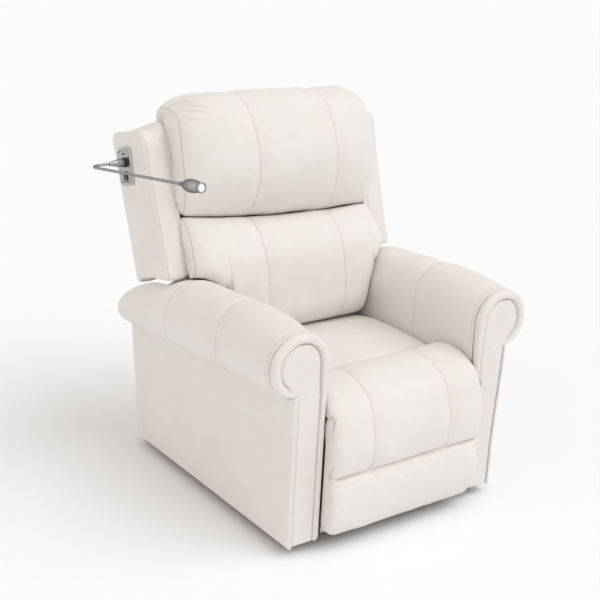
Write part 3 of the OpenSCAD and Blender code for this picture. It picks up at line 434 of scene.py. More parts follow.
def metal(name, tone, rough, brushed=(1, 1, 1), scale=900.0, spots=0.15, rim=0.0):
    """Metal with fine scratches drawn out along one axis, slow clouding, and a painted shade that darkens its
    turned-away sides towards black.
    """
    m, w, shader, place = start_material(name)
    scratch = w.noise(place, scale, 3.0, 0.6, brushed)
    cloud = w.noise(place, 22.0, 3.0)
    dark = tuple(c * 0.72 for c in tone[:3]) + (1,)
    colour = w.blend(w.times(w.ramp(cloud, 0.35, 0.7), spots), tone, dark)
    # Painted shade: with rim, the colour darkens towards black where the surface turns away from the view,
    # giving the nickel contour shading.
    if rim:
        painted_shade_facing = w.add("LayerWeight").outputs["Facing"]
        colour = w.blend(w.times(w.ramp(painted_shade_facing, 0.15, 0.75), rim), colour, (0.03, 0.03, 0.03, 1))
    worn = w.plus(w.times(scratch, 0.6), w.times(cloud, 0.4))
    w.fill(shader, Base_Color=colour, Metallic=1.0,
           Roughness=w.ramp(worn, 0.3, 0.7, rough * 0.75, rough * 1.25))
    bump(w, shader, scratch, 0.00004, 0.6)
    return m


def moulded(name, tone, rough, grain=1500.0, depth=0.00006):
    """Moulded plastic, rubber or paint: a fine even grain and a faint drift of its colour."""
    m, w, shader, place = start_material(name)
    fine, slow = w.noise(place, grain, 2.0), w.noise(place, 14.0, 3.0)
    light = tuple(min(1.0, c * 1.35 + 0.01) for c in tone[:3]) + (1,)
    w.fill(shader, Base_Color=w.blend(w.ramp(slow, 0.35, 0.7, 0.0, 0.5), tone, light),
           Roughness=w.ramp(fine, 0.3, 0.7, rough - 0.06, rough + 0.06))
    bump(w, shader, fine, depth, 0.5)
    return m


def ply_wood():
    """Plywood and sawn timber: long pale and brown fibres with fine pores."""
    m, w, shader, place = start_material("frame_plywood")
    fibre = w.noise(place, 9.0, 6.0, 0.65, (1.2, 22.0, 9.0))
    pore = w.noise(place, 160.0, 3.0, 0.6, (0.25, 1.0, 1.0))
    grain = w.ramp(w.plus(w.times(fibre, 0.75), w.times(pore, 0.25)), 0.35, 0.65)
    w.fill(shader, Base_Color=w.blend(grain, (0.62, 0.44, 0.26, 1), (0.42, 0.27, 0.14, 1)),
           Roughness=w.ramp(pore, 0.3, 0.7, 0.55, 0.75))
    bump(w, shader, pore, 0.0003, 0.5)
    return m


def lens_glass():
    """Frosted lamp lens: pale, softly shining, with a faint cloudiness."""
    m, w, shader, place = start_material("lamp_lens")
    w.fill(shader, Base_Color=w.blend(w.noise(place, 420.0, 2.0), (0.92, 0.93, 0.94, 1), (0.80, 0.82, 0.84, 1)),
           Roughness=0.18, Coat_Weight=0.6, Emission_Color=(1.0, 0.98, 0.94, 1), Emission_Strength=0.25)
    return m


GRAIN, SEWN = hide_grain(), sewn_line()
cover, sewn_cover = leather("cream_leather"), leather("cream_leather_sewn", seams=True)
# The last argument is the share of painted shade on the nickel's turned-away sides.
nickel = metal("brushed_nickel", (0.42, 0.41, 0.40, 1), 0.28, (1, 1, 14), 700.0, 0.3, 0.85)
satin = metal("satin_nickel_plate", (0.46, 0.45, 0.44, 1), 0.34, (1, 14, 1), 600.0, 0.3)
# Nickel painted nearly black, as nickel in shade, for the shade inside the lamp plate's slots.
painted_shade_nickel = metal("nickel_in_shade", (0.05, 0.048, 0.045, 1), 0.4, (1, 1, 1), 700.0, 0.3)
lens = lens_glass()
SLOT_FINISH = {
    "cream_leather": cover,
    "dark_steel": moulded("painted_steel", (0.06, 0.062, 0.066, 1), 0.42, 900.0, 0.00005),
    "zinc_steel": metal("zinc_steel", (0.56, 0.57, 0.58, 1), 0.34, (1, 1, 1), 260.0, 0.35),
    "plywood": ply_wood(),
    "black_plastic": moulded("black_plastic", (0.022, 0.022, 0.024, 1), 0.42),
    "rail_aluminium": metal("rail_aluminium", (0.70, 0.71, 0.72, 1), 0.3, (1, 12, 1), 600.0),
    "cap_rubber": moulded("cap_rubber", (0.03, 0.03, 0.03, 1), 0.62, 800.0),
    "brushed_nickel": nickel,
    "lamp_lens": lens}


# ---------------------------------------------------------------- back cushions

def back_bulge(x):
    """How full a back cushion is at x: the square root of 1 less (|x| / 344) to the power 2.6."""
    return np.sqrt(np.maximum(0, 1 - (np.abs(x) / 344.0) ** 2.6))


def crease_shift(x):
    """How far the crease between the two back cushions stands over its middle height: it sags a little
    on one side and rises towards the lamp's side."""
    t = 0.5 - x / (2 * BACK_HALF)
    return 44 * np.clip(t, 0, 1) ** 3 - 8 + 5 * (1 - t) ** 2


def wing_front(high):
    """How far the wings' front stands before the back at a height: it comes ahead towards the top."""
    t = np.clip((high - WING_FOOT) / (WING_TOP - WING_FOOT), 0, 1) ** 1.4
    return WING_FRONT + 20 * t


def tuck(front, high):
    """How much narrower a back cushion is between the wings, from 14 mm behind their front on."""
    return 0.037 * (1 - ease((front - wing_front(high) + 14) / 14))


def boxed(X, place):
    """Distance to the seams, for which X has its outer parts shifted so that place lies at BOX_LINE."""
    X = X + np.sign(X) * (BOX_LINE - place) * ease((np.abs(X) - 240) / 60)
    return two_tone(X, (STITCH, BOX_LINE))


# Up the back, with the depth of a cushion's middle and of its sides
HEAD_LINES = [(383, 180, 100), (386, 196, 106), (394, 217, 113), (420, 251, 127), (462, 283, 147),
              (522, 308, 168), (590, 314, 182), (650, 304, 186), (696, 284, 178), (724, 256, 158),
              (741, 218, 128), (749, 176, 106), (750, 130, 84), (745, 84, 60), (732, 36, 30), (716, 5, 4)]
LUMBAR_LINES = [(50, 138, 126), (54, 160, 138), (64, 184, 151), (95, 214, 168), (142, 232, 176),
                (204, 249, 178), (262, 255, 172), (300, 249, 152), (332, 236, 134), (360, 219, 121),
                (374, 204, 113), (380, 184, 104)]


def head_pillow():
    """Head cushion: across, a full back whose depth runs from the side line to the middle line of
    HEAD_LINES by back_bulge; round corners, a drawn-in channel at each stitch line, creases at the
    corners; over the wings it narrows towards the rear, and its crown tilts a little."""
    x = crowded(-BACK_HALF, BACK_HALF, 230, (-STITCH, STITCH, -300, 300), 26.0, 1.6)
    X, high, middle, side = spread(x, smooth_line(HEAD_LINES, 200))
    front = side + (middle - side) * back_bulge(X)
    crown, foot = ease((high - 655) / 90), ease((425 - high) / 42)
    corner, beside = round_off(X, BACK_HALF, 34), np.abs(X) - STITCH
    channel = (6.0 * bell(beside, 24) + 1.5 * bell(beside, 3.4)) * ease((front - 20) / 70)
    front = front - np.minimum(1, front / 120) * (channel + corner * 0.75)
    high = high - round_off(X, BACK_HALF, 96) * 0.56 * crown + corner * 0.45 * foot \
        - 3.0 * bell(beside, 30) * crown
    narrow = 1 - 0.12 * (1 - np.clip(front / 150, 0, 1)) ** 1.2 * ease((high - 640) / 50) \
        - tuck(front, high) * ease((720 - high) / 30)
    high = high + crease_shift(X) * ease((530 - high) / 147) - 8 * X / BACK_HALF * crown
    points = back_points(X * narrow, np.maximum(front, 3), high)
    run = arc_length(points)
    marks = [(-152, 22, 80, 30, 6, -2.2), (153, 22, 100, 30, 6, -2.2), (-120, 26, 110, 24, 7, -1.6),
             (121, 24, 74, 26, 7, -1.6), (-40, 12, 92, 18, 8, -1.5), (52, 13, 88, 20, 7, -1.6),
             (210, 14, 84, 20, 7, -1.8), (-214, 13, 95, 20, 8, -1.6), (-150, 440, 84, 34, 8, -2),
             (150, 440, 96, 34, 8, -2), (-118, 446, 104, 28, 9, -1.6), (118, 446, 76, 28, 9, -1.6),
             (-60, 452, 76, 26, 10, -1.8), (70, 448, 104, 28, 10, -1.8), (10, 455, 90, 20, 9, -1.4)]
    for e, deep in ((-1, 1.0), (1, 0.35)):
        marks += on_side(e, [
            (292, 372, 14, 30, 6, -10 * deep), (280, 350, 6, 36, 7, -11 * deep),
            (288, 328, -2, 34, 7, -8 * deep), (266, 392, 32, 32, 7, -9 * deep),
            (240, 412, 54, 32, 8, -6 * deep), (300, 300, 2, 26, 7, -4),
            (208, 458, 66, 30, 8, -2.2), (296, 60, 30, 34, 7, -2.4), (280, 36, 60, 26, 7, -2.2),
            (306, 140, 6, 26, 9, -1.6), (304, 240, -8, 26, 10, -1.6)])
    shape = folds(X, run, marks) + 3.2 * lumps(X, run, 150, 4) + 1.3 * lumps(X, run, 46, 9)
    points = pushed(points, shape * ease((front - 10) / 60), back_points(0.0, 60.0, 560.0))
    lower = back_points(X[:, :1] * REAR_SHARE, 3.0, 386.0 + crease_shift(X[:, :1]))
    rear = between(points[:, -1:], lower, np.linspace(0, 1, 18)[1:-1])
    seam = boxed(X, 326 + 6 * bell(high - 560, 90) - 6 * bell(high - 400, 50))
    return put_soft("head_pillow", points, rear, seam, run)


def arm_top(x, ahead):
    """Height of an arm's roll over a place, behind the hinge no higher than the arc that clears the wings."""
    across = np.clip(np.abs(x) - ROLL_X, -ROLL_R, ROLL_R)
    top = roll_up(ahead) + np.sqrt(ROLL_R**2 - across**2) * (1 + arm_crown(ahead) / ROLL_R)
    arc = HINGE_UP + np.sqrt(np.maximum(0, ARC_R**2 - (ahead - HINGE_AHEAD) ** 2))
    return np.where(ahead < HINGE_AHEAD, np.minimum(top, arc), top)


def shoulder_foot(x, front):
    """Lowest height of a back cushion that stays 4 mm over the arms, for points that far in front, and
    outside the arc on which the arms end, so that it clears them as the back turns."""
    c, s = math.cos(BACK_LEAN), math.sin(BACK_LEAN)
    high = np.full(np.broadcast(x, front).shape, 262.0)
    for _ in range(40):
        over = HINGE_UP + front * s + high * c - arm_top(x, HINGE_AHEAD + front * c - high * s) - 4
        high = np.clip(high - np.clip(over, -3, 3), 190, 268)
    return np.maximum(high, np.sqrt(np.maximum(0, (ARC_R + 2) ** 2 - front**2)))


def lumbar_pillow():
    """Lumbar cushion: narrow and round-sided between the arms and wide over them, with the stitch channels
    of the head cushion. Its depth runs from the side line to the middle line of LUMBAR_LINES by back_bulge;
    over the arms its foot rounds off over 34 mm, and its top tucks in under the head cushion."""
    narrow, foot, top = 249.0, 50, 380.0
    x = crowded(-BACK_HALF, BACK_HALF, 230, (-STITCH, STITCH, -252, 252, -330, 330), 16.0, 2.4)
    line = smooth_line(LUMBAR_LINES, 150)
    X = x[:, None] + 0 * line[:, 0]
    a = np.abs(X)
    over_arm = ease((a - narrow) / 7)
    low = foot + (shoulder_foot(X, 165.0) - foot) * over_arm
    high = low + (top - low) * (line[:, 0] - foot) / 330
    middle, side = (np.interp(high, line[:, 0], line[:, k]) for k in (1, 2))
    front = side + (middle - side) * back_bulge(X)
    waist = np.where(a < narrow, round_off(X, narrow, 70), 70) * 0.6 * ease((205 - high) / 110)
    rise = high - low
    hem = 30 * (1 - quarter(rise, 34)) * over_arm
    edge = round_off(X, BACK_HALF, 30) * 0.7 + waist + hem
    channel = 6.0 * bell(a - STITCH, 24) + 1.5 * bell(a - STITCH, 3.4)
    front = np.maximum(front - np.minimum(1, front / 120) * (channel + edge), 20)
    high = high + crease_shift(X) * ease((high - 236) / 144)
    points = back_points(X * (1 - tuck(front, high) * ease((high - 250) / 10)), front, high)
    run = arc_length(points)
    marks = both_sides([(236, 150, 70, 44, 9, -2.4), (222, 100, 60, 40, 10, -2)]) + [
        (-150, 322, 84, 26, 7, -2), (151, 322, 96, 26, 7, -2), (-60, 326, 92, 20, 9, -1.5),
        (70, 327, 86, 20, 8, -1.5), (230, 318, 90, 22, 8, -1.8), (-226, 318, 88, 22, 8, -1.8),
        (-190, 40, 20, 60, 10, -2), (190, 46, -18, 60, 10, -2), (20, 60, 4, 80, 11, -1.6)]
    shape = folds(X, run, marks) * (1 - over_arm) + 2.6 * lumps(X, high, 140, 21) + lumps(X, high, 48, 22)
    soft = ease((front - 10) / 60) * ease((rise - 4) / 30)
    points = pushed(points, shape * soft, back_points(0.0, 60.0, 230.0))
    edge_x, lap, inside = X[:, :1], over_arm[:, :1], X[:, :1] * REAR_SHARE
    foot_at = lambda n: back_points(inside, n, foot + (shoulder_foot(edge_x, n) - foot) * lap)
    rear_top = back_points(inside, 3.0, top - 2 + crease_shift(edge_x))
    ways = [between(points[:, -1:], rear_top, np.arange(1, 7) / 6),
            between(rear_top, foot_at(3.0 + 0 * inside), np.linspace(0, 1, 22)[1:]),
            foot_at(3 + (front[:, :1] - 3) * np.linspace(0, 1, 9)[None, 1:-1])]
    seam = boxed(X, 326 + 8.5 * ease((370 - high) / 110))
    return put_soft("lumbar_pillow", points, np.concatenate(ways, 1), seam, run)


# ---------------------------------------------------------------- seat and footrest

# Side outlines of (ahead, up): over the front roll, down the footrest's pad and down its lower panel
ROLL_LINE = [(237.8, 404), (238.6, 416), (245.5, 437), (264.7, 450.4), (292.6, 458), (324.4, 460.4),
             (356.3, 455.2), (387.2, 441.5), (410.1, 427.4), (426.4, 411.6), (436.2, 395.0)]
PAD_LINE = [(436.2, 395.0), (443.2, 379), (447.6, 364), (454.6, 338), (458.6, 311.7), (458.4, 273),
            (452.5, 240), (446.5, 226), (435.2, 217.2)]
LOW_LINE = [(435.2, 217.2), (445.6, 208), (451.6, 192), (457.2, 155), (455.4, 108), (444.5, 66), (430, 45),
            (417, 38.5), (404, 38)]


def with_close_ends(line, near=0.5):
    """Adds points a little inside both ends of an outline, so that its corners stay crisp."""
    first = line[0] + (line[1] - line[0]) * near / np.linalg.norm(line[1] - line[0])
    last = line[-1] + (line[-2] - line[-1]) * near / np.linalg.norm(line[-2] - line[-1])
    return np.concatenate([line[:1], [first], line[1:-1], [last], line[-1:]])


def seat_side(X, ahead, up, core, seams_keep):
    """Moves an outline towards its core by the drawn-in stitch channels and the round sides."""
    beside = np.abs(X) - SEAT_STITCH
    pull = seams_keep * (7.0 * bell(beside, 20) + 1.5 * bell(beside, 3.2)) + round_off(X, SEAT_HALF, 32) * 0.75
    a, u = core[0] - ahead, core[1] - up
    n = np.hypot(a, u)
    return ahead + pull * a / n, up + pull * u / n


def front_roll():
    """Front roll of the seat: the upper part of one outline that the footrest's pad carries on, drawn in
    at the stitch lines, closed behind along the split and over the frame."""
    x = crowded(-SEAT_HALF, SEAT_HALF, 200, (-SEAT_STITCH, SEAT_STITCH, -250, 250), 16.0, 2.4)
    X, ahead, up = spread(x, with_close_ends(smooth_line(ROLL_LINE, 110)))
    keep = ease((ahead - 239) / 22)
    points = chair_points(X, *seat_side(X, ahead, up, SPLIT_CORE, keep))
    run = arc_length(points)
    marks = [(-132, 30, 88, 24, 7, -2.4), (133, 30, 92, 24, 7, -2.4), (-60, 24, 84, 22, 9, -1.6),
             (60, 26, 94, 22, 10, -1.7), (0, 22, 90, 20, 8, -1.3), (200, 24, 80, 24, 8, -2.2),
             (-205, 24, 100, 24, 8, -2.2), (-236, 80, 20, 28, 8, -2.4), (236, 84, -20, 28, 8, -2.4),
             (-90, 20, 96, 16, 6, -1.4), (96, 20, 84, 16, 6, -1.4), (-165, 26, 80, 20, 7, -1.7),
             (165, 26, 102, 20, 7, -1.7)]
    shape = (folds(X, run, marks) + 2.6 * lumps(X, run, 120, 31)) * ease((run[:, -1:] - run) / 50)
    points = pushed(points, shape * keep, chair_points(0.0, 330.0, 380.0))
    back = swept(x, smooth_line([(427, 391), (404, 386), (377, 378), (375.5, 364), (340, 363), (290, 363),
                                 (240, 363), (238, 375), (237.8, 390)], 34))
    back = np.concatenate([between(points[:, -1:], back[:, :1], [0.06]), back], 1)
    return put_soft("front_roll", points, back, two_tone(X, (SEAT_STITCH,)), run)


def footrest_cover():
    """Footrest pad: the outline below the split, drawn in deep at the cross seam whose ends pinch, with
    stitch channels above that seam only and a plain lower panel."""
    x = crowded(-SEAT_HALF, SEAT_HALF, 220, (-SEAT_STITCH, SEAT_STITCH, -240, 240), 18.0, 2.0)
    upper, lower = with_close_ends(smooth_line(PAD_LINE, 100)), smooth_line(LOW_LINE, 90)[1:]
    top = len(upper)
    X, ahead, up = spread(x, np.concatenate([upper, lower]))
    s = np.arange(X.shape[1]) + 0 * X
    above = (s < top) * ease((top - s) / 14)
    core = (SPLIT_CORE[0] + 16 * ease(s / 40), SPLIT_CORE[1] - 100 * ease(s / 60))
    ahead, up = seat_side(X, ahead, up, core, above)
    pinch = 1 - ease((252 - np.abs(X)) / 18)
    ahead = ahead + pinch * 10 * bell(up - 217, 12)
    up = up + round_off(X, SEAT_HALF, 40) * 0.45 * ease((100 - up) / 60)
    points = chair_points(X, ahead, up)
    run = arc_length(points)
    cross = run[len(x) // 2, top - 1]
    marks = both_sides([
        (241, 13, -34, 18, 4.5, 4.6), (239, -13, 30, 18, 4.5, 4), (247, 25, -66, 17, 5, 3.6),
        (224, 9, -12, 22, 4.5, 3), (222, -9, 12, 22, 4.5, 2.6), (196, 30, -20, 32, 10, -2),
        (214, 150, 30, 34, 9, -2), (222, -80, 80, 44, 14, -1.8)]) + [
        (-132, -12, 86, 16, 6, -2.4), (132, -12, 94, 16, 6, -2.4), (-60, -10, 80, 12, 7, -1.5),
        (40, -10, 96, 12, 7, -1.5), (-100, 12, 96, 14, 8, -1.6), (90, 12, 84, 14, 8, -1.6),
        (0, 12, 88, 14, 9, -1.5), (180, -11, 84, 14, 7, -1.6), (-180, -11, 98, 14, 7, -1.6)]
    shape = folds(X, run - cross, marks) + 2.6 * lumps(X, run, 120, 41) + 1.0 * lumps(X, run, 42, 42)
    points = pushed(points, shape * ease(run / 50), chair_points(0.0, 396.0, 230.0))
    back = swept(x, smooth_line([(401.5, 46), (401, 90), (401, 200), (401, 300), (401, 378), (408, 384.8),
                                 (422, 389.2), (432, 392.6)], 48))
    back = np.concatenate([back, between(points[:, :1], back[:, -1:], [0.1])], 1)
    straight = np.abs(np.where(s < top, two_tone(X, (SEAT_STITCH,)), -60.0))
    over = np.abs((cross - run) * np.where(pinch < 0.7, 1, 40))
    return put_soft("footrest_cover", points, back, np.where(over < straight, over, straight),
                    np.where(over < straight, X + 300, run), PLAIN)


def seat_pad():
    """Seat cushion: a low dome whose front dips to the roll's seam and whose sides and rear round off."""
    top = smooth_line([(-144.5, 380), (-141, 398), (-128, 412), (-90, 424), (-45, 431.5), (8, 437), (80, 438.6),
                       (150, 437.4), (200, 434), (224, 427), (234, 417), (236.2, 404)], 84)
    x = crowded(-SEAT_HALF, SEAT_HALF, 84, (-240, 240), 14.0, 2.0)
    X, ahead, up = spread(x, top)
    up = up - round_off(X, SEAT_HALF, 46) * 0.5 - 6 * (X / SEAT_HALF) ** 2
    points = chair_points(X, ahead, up)
    run = arc_length(points)
    marks = both_sides([(225, 320, 60, 40, 9, 2.2)]) + [
        (-150, 330, 84, 26, 8, 1.8), (140, 332, 96, 28, 8, 1.8), (-40, 336, 92, 22, 9, 1.4),
        (60, 334, 86, 24, 8, 1.4), (215, 200, 20, 50, 12, 1.6), (-215, 210, -18, 50, 12, 1.6),
        (0, 100, 4, 90, 14, 1.4)]
    points = pushed(points, folds(X, run, marks) + 2.6 * lumps(X, run, 130, 51), chair_points(0.0, 50.0, 380.0))
    floor = swept(x, smooth_line([(235, 390), (234, 370), (226, 363.2), (150, 363), (0, 363), (-130, 363),
                                  (-142, 366), (-144.5, 372)], 44))
    return put_soft("seat_pad", points, floor, PLAIN + 0 * X, run, PLAIN)


# ---------------------------------------------------------------- wings and arms

def roll_up(ahead):
    """Height of an arm roll's centre: it falls evenly towards the rear."""
    return ROLL_UP - (ARM_FRONT - ahead) * ARM_FALL


def round_box(left, right, foot, top, radii, per, steps):
    """Outline of a rectangle with round corners of the given radii, from its right foot corner on: per
    points round each corner, and the straight sides in so many steps."""
    arcs = []
    for k, (a, b, to_a, to_b, r) in enumerate(zip((right, right, left, left), (foot, top, top, foot),
                                                  (-1, -1, 1, 1), (1, -1, -1, 1), radii)):
        angle = np.radians(90 * k - 90 + np.linspace(0, 90, per))
        arcs.append(np.stack([a + to_a * r + r * np.cos(angle), b + to_b * r + r * np.sin(angle)], -1))
    share = np.linspace(0, 1, steps + 1)[1:-1, None]
    sides = [p[-1] + (q[0] - p[-1]) * share for p, q in zip(arcs, arcs[1:] + arcs[:1])]
    return np.concatenate([part for pair in zip(arcs, sides) for part in pair])


def wing_cover(name, side):
    """Wing: rings of its outline from its inner face to its outer one. The front boxing is slightly
    crowned, the outer edge rounds off over 12 mm, and the outer panel is a shallow dome. Towards its
    top the front comes ahead and rolls outwards; its foot hangs a little lower in front and behind,
    because the middle has to clear the arms as the back turns."""
    # Each step is (place across, how far the outline is drawn in)
    steps = [(326.5, 10), (327, 6.4), (328.2, 4.9), (332, 4.6), (337.5, 4.4), (340.5, 2.6), (343.5, 0.9),
             (348, 0), (350, -0.8), (365, -1.2), (380, -0.8), (389, 0), (393.5, 0.8), (397, 2.4), (400, 5),
             (402, 8.5), (403.2, 13), (404, 20)]
    rings = []
    for X, e in steps:
        n, v = round_box(WING_REAR + e, WING_FRONT - e, WING_FOOT + e, WING_TOP - e,
                         [max(3.0, r - 0.6 * e) for r in (12, 40, 20, 16)], 13, 40).T
        fore = (wing_front(v) - WING_FRONT) * ease((n - 30) / 100)
        drop = 0.15 * (n - WING_REAR) * ease((v - 520) / 170) * ease((X - 340) / 22)
        drop = drop + (15 * ease((n - 20) / 113) + 6 * ease((-10 - n) / 44)) * ease((330 - v) / 70)
        rings.append(back_points(X + 0.7 * fore * max(0.0, X - WING_IN) / 66, n + fore, v - drop))
    rings = np.stack(rings)
    run = arc_length(rings)
    seam = np.array([s[0] for s in steps])[:, None] - 395.0 + 0 * run

    def drawn(ring, shares):
        return ring.mean(0) + (ring - ring.mean(0)) * np.array(shares)[:, None, None]
    shares = (0.93, 0.85, 0.74, 0.6, 0.45, 0.3, 0.15, 0.0)
    caps = drawn(rings[-1], shares)
    caps[..., 0] += 0.001 * np.array([1 - k * k for k in shares])[:, None]
    rings = np.concatenate([drawn(rings[0], (0.0, 0.5, 0.9)), rings, caps])
    rings[..., 0] *= side
    level = 0 * run[:1]
    seam = np.concatenate([np.repeat(level - 70, 3, 0), seam, np.repeat(level + 30, len(shares), 0)])
    along = np.concatenate([np.repeat(run[:1], 3, 0), run, np.repeat(run[-1:], len(shares), 0)])
    return put_grids(name, [rings], [("seam", seam * 0.001), ("along", along * 0.001)])


def arc_ahead(up):
    """Where the arms' rear ends stand at a height, 1 mm inside the arc that clears the turning wings."""
    return HINGE_AHEAD - np.sqrt(np.maximum(1, (ARC_R - 1) ** 2 - (up - HINGE_UP) ** 2))


def rear_edge(up):
    """Where the arms' sloping rear edge stands at a height."""
    return ARM_REAR - (up - FLOOR_GAP) * REAR_SLOPE


def arm_crown(ahead):
    """How far a roll swells over its round section at its top: nothing at its front, less behind."""
    rise = np.sin(np.pi / 2 * np.clip((ROLL_START - ahead) / 200, 0, 1))
    return CROWN * rise * (1 - 0.6 * ease((-90 - ahead) / 110))


def arm_cover(name, side):
    """Arm roll and inner side in one cover: a round section from the outer seam over the top, then
    straight down the inner side. It follows the falling roll, crowned in the middle, drawn in at two
    cross seams, closed inside; its rear end lies on the arc that clears the wings."""
    angle = np.radians(np.linspace(-78.3, 180, 104))
    k = np.linspace(0, 1, 26)[1:]
    dx = np.concatenate([ROLL_R * np.cos(angle), -ROLL_R + 0.8 * k])
    dz = np.concatenate([ROLL_R * np.sin(angle), -k])
    flank = np.concatenate([0 * angle, k])
    T = crowded(0, 1, 104, (0.32, 0.655, 0.0, 1.0, 0.97), 0.02, 3.0)[:, None] + 0 * dx
    ahead = ROLL_START - T * (ROLL_START - ARM_REAR)
    for _ in range(4):
        centre = roll_up(ahead)
        up = centre + dz * (1 - flank) + flank * (INSIDE_FOOT - centre)
        up = up + arm_crown(ahead) * np.maximum(0, dz / ROLL_R) * (flank == 0)
        rear = np.maximum(arc_ahead(up) + 1.6 * np.maximum(0, up - 583),
                          ARM_REAR - 6 - 50 * np.clip((480 - up) / 60, 0, 1))
        ahead = ROLL_START - T * (ROLL_START - np.maximum(rear, rear_edge(up)))
    groove = sum(3.2 * bell(ahead - s, 13) + 1.3 * bell(ahead - s, 2.6) for s in CROSS_SEAMS)
    end = (20 - 11 * np.clip((up - 540) / 40, 0, 1)) * (1 - quarter(1 - T, 0.045))
    lip = 2.5 * (1 - quarter(T, 0.012))
    angle = np.arctan2(dz, dx)
    gather = 0.9 * np.sin(angle * 23 + 0.6 * np.sin(angle * 7)) * bell(T * 776 - 9, 9) * (flank == 0)
    seat_line = 4.0 * bell(np.arange(len(dx)) - 1.0, 3.5)
    inset = groove * np.clip(1.2 - flank, 0, 1) + end + lip - gather + seat_line
    shape = 1.6 * lumps(ahead, angle * 89 + flank * 120, 170, 61 + (side > 0)) \
        + 0.7 * lumps(ahead, angle * 89, 55, 63)
    scale = (ROLL_R - inset + shape * ease(T / 0.05) * ease((1 - T) / 0.04)) / ROLL_R
    x = ROLL_X + np.where(flank > 0, dx + inset - shape * 0.5, dx * scale)
    inward = np.where(flank > 0, 3 * (1 - ease(flank / 0.6)),
                      3 + 5 * np.clip(np.sin(2 * (np.pi - angle)), 0, 1))
    x = x - inward * (dx < 0) * arm_crown(ahead) / CROWN * ease(-dx / 40)
    outer = chair_points(x, ahead, centre + (up - centre) * np.where(flank > 0, 1, scale))
    first, last = ahead[:, :1], ahead[:, -1:]
    middle = (first + last) / 2
    inner = [(261.6, last, INSIDE_FOOT), (261.8, middle, (INSIDE_FOOT + roll_up(middle) - 70) / 2)]
    inner += [(across, first, roll_up(first) - fall)
              for across, fall in ((261.8, 76), (300, 80), (352, 82), (360, 84), (364, 86.5))]
    closing = np.concatenate([chair_points(*place) for place in inner], 1)
    cross = np.minimum(*(np.abs(ahead - s) for s in CROSS_SEAMS))
    cross = cross * np.where((ahead < CROSS_SEAMS[0]) & (ahead > CROSS_SEAMS[1]), 1.0, -1.0)
    edge = ahead - (ROLL_START - 7)
    edge = np.where(np.abs(edge) < 60, edge, 60)
    seam = np.where(np.abs(cross) < np.abs(edge), cross, edge)
    return put_soft(name, outer, closing, seam, arc_length(outer), 60.0, side, swell=0.5)


def band_cover(name, side):
    """Band round an arm's front: a padded strip on a path that starts in a blunt tip at the outer seam,
    goes round the scroll and straight down the inner side; its section is a flattened oval."""
    a = np.radians(np.linspace(-80, 180, 98))
    z = np.linspace(ROLL_UP, FLOOR_GAP, 60)[1:]
    path = np.concatenate([np.stack([ROLL_X + BAND_R * np.cos(a), ROLL_UP + BAND_R * np.sin(a)], -1),
                           np.stack([np.full(len(z), ROLL_X - BAND_R), z], -1)])
    run = np.concatenate([[0], np.cumsum(np.linalg.norm(np.diff(path, axis=0), axis=1))])[:, None]
    way = np.gradient(path, axis=0)
    way /= np.linalg.norm(way, axis=1, keepdims=True)
    aside = np.stack([-way[:, 1], way[:, 0]], -1)
    tip = np.sqrt(np.clip(run / 40, 0.36, 1))
    toe = np.maximum(0.55, np.sqrt(np.clip((run[-1] - run) / 10, 0.0, 1)))
    slim = ease((run - 330) / 130)
    wide = (13.4 - 3.6 * slim) * tip * toe
    deep = (12.6 - 1.6 * slim) * (0.35 + 0.65 * tip) * toe
    k = np.linspace(0, 2 * np.pi, 41)[:-1]
    across = np.sign(np.cos(k)) * np.abs(np.cos(k)) ** 0.8
    ahead = np.sign(np.sin(k)) * np.abs(np.sin(k)) ** 0.85
    place = path[:, None] - aside[:, None] * (across * wide)[..., None]
    gather = 0.45 * np.sin(run * 0.42 + 0.8 * np.sin(run * 0.11)) * np.clip(ahead, 0, 1) \
        * bell(across + 0.75, 0.4) * (run < 420)
    soft = 0.6 * lumps(run + 0 * ahead, across * 20 + 0 * run, 60, 71)
    fore = BAND_AHEAD + 0.6 + ahead * deep + (gather + soft) * np.clip(ahead, 0, 1)
    rings = chair_points(np.maximum(place[..., 0], 259.5), fore, place[..., 1])
    seam = np.where((ahead > 0) & (run < 500), across * wide + 10.4 * np.minimum(1, wide / 13), 30)
    return put_soft(name, rings, rings[:, :0], seam, run + 0 * across, side=side, shares=(0.8, 0.4, 0.0),
                    swell=2.0)


def padded_plate(name, side, place, s, t, thick, edge, shape, seam_in=-500.0, stand=0.0):
    """A padded panel as a closed shell. place(s, t, h) gives the point for its two parameters and a
    height; h is a quarter circle over the last edge millimetres, from the share stand of the thickness at
    the two long sides, plus a shape times its ease. s and t hold the distances in millimetres from the
    panel's first edges, and a seam runs seam_in from its edges."""
    S, T = np.meshgrid(s, t)
    across, along = np.minimum(S - s[0], s[-1] - S), np.minimum(T - t[0], t[-1] - T)
    near = np.minimum(across, along)
    rise = thick * np.minimum(stand + (1 - stand) * quarter(across, edge), quarter(along, edge))
    front = place(S, T, rise + shape(S, T) * ease(near / (3 * edge)))
    rings = np.concatenate([front, place(S, T, 0 * rise)[:, ::-1]], 1)
    rings[..., 0] *= side
    seam = np.concatenate([near - seam_in, np.full_like(near, PLAIN)], 1)
    run = np.where(across < along, T, S)
    run = np.concatenate([run, run[:, ::-1]], 1)
    return put_grids(name, [rings], [("seam", seam * 0.001), ("along", run * 0.001)])


def edge_steps(length, edge, count):
    """Distances along a panel, closer together over its round edges."""
    return crowded(0, length, count, (0, edge * 0.5, length - edge * 0.5, length), edge * 0.6, 5.0)


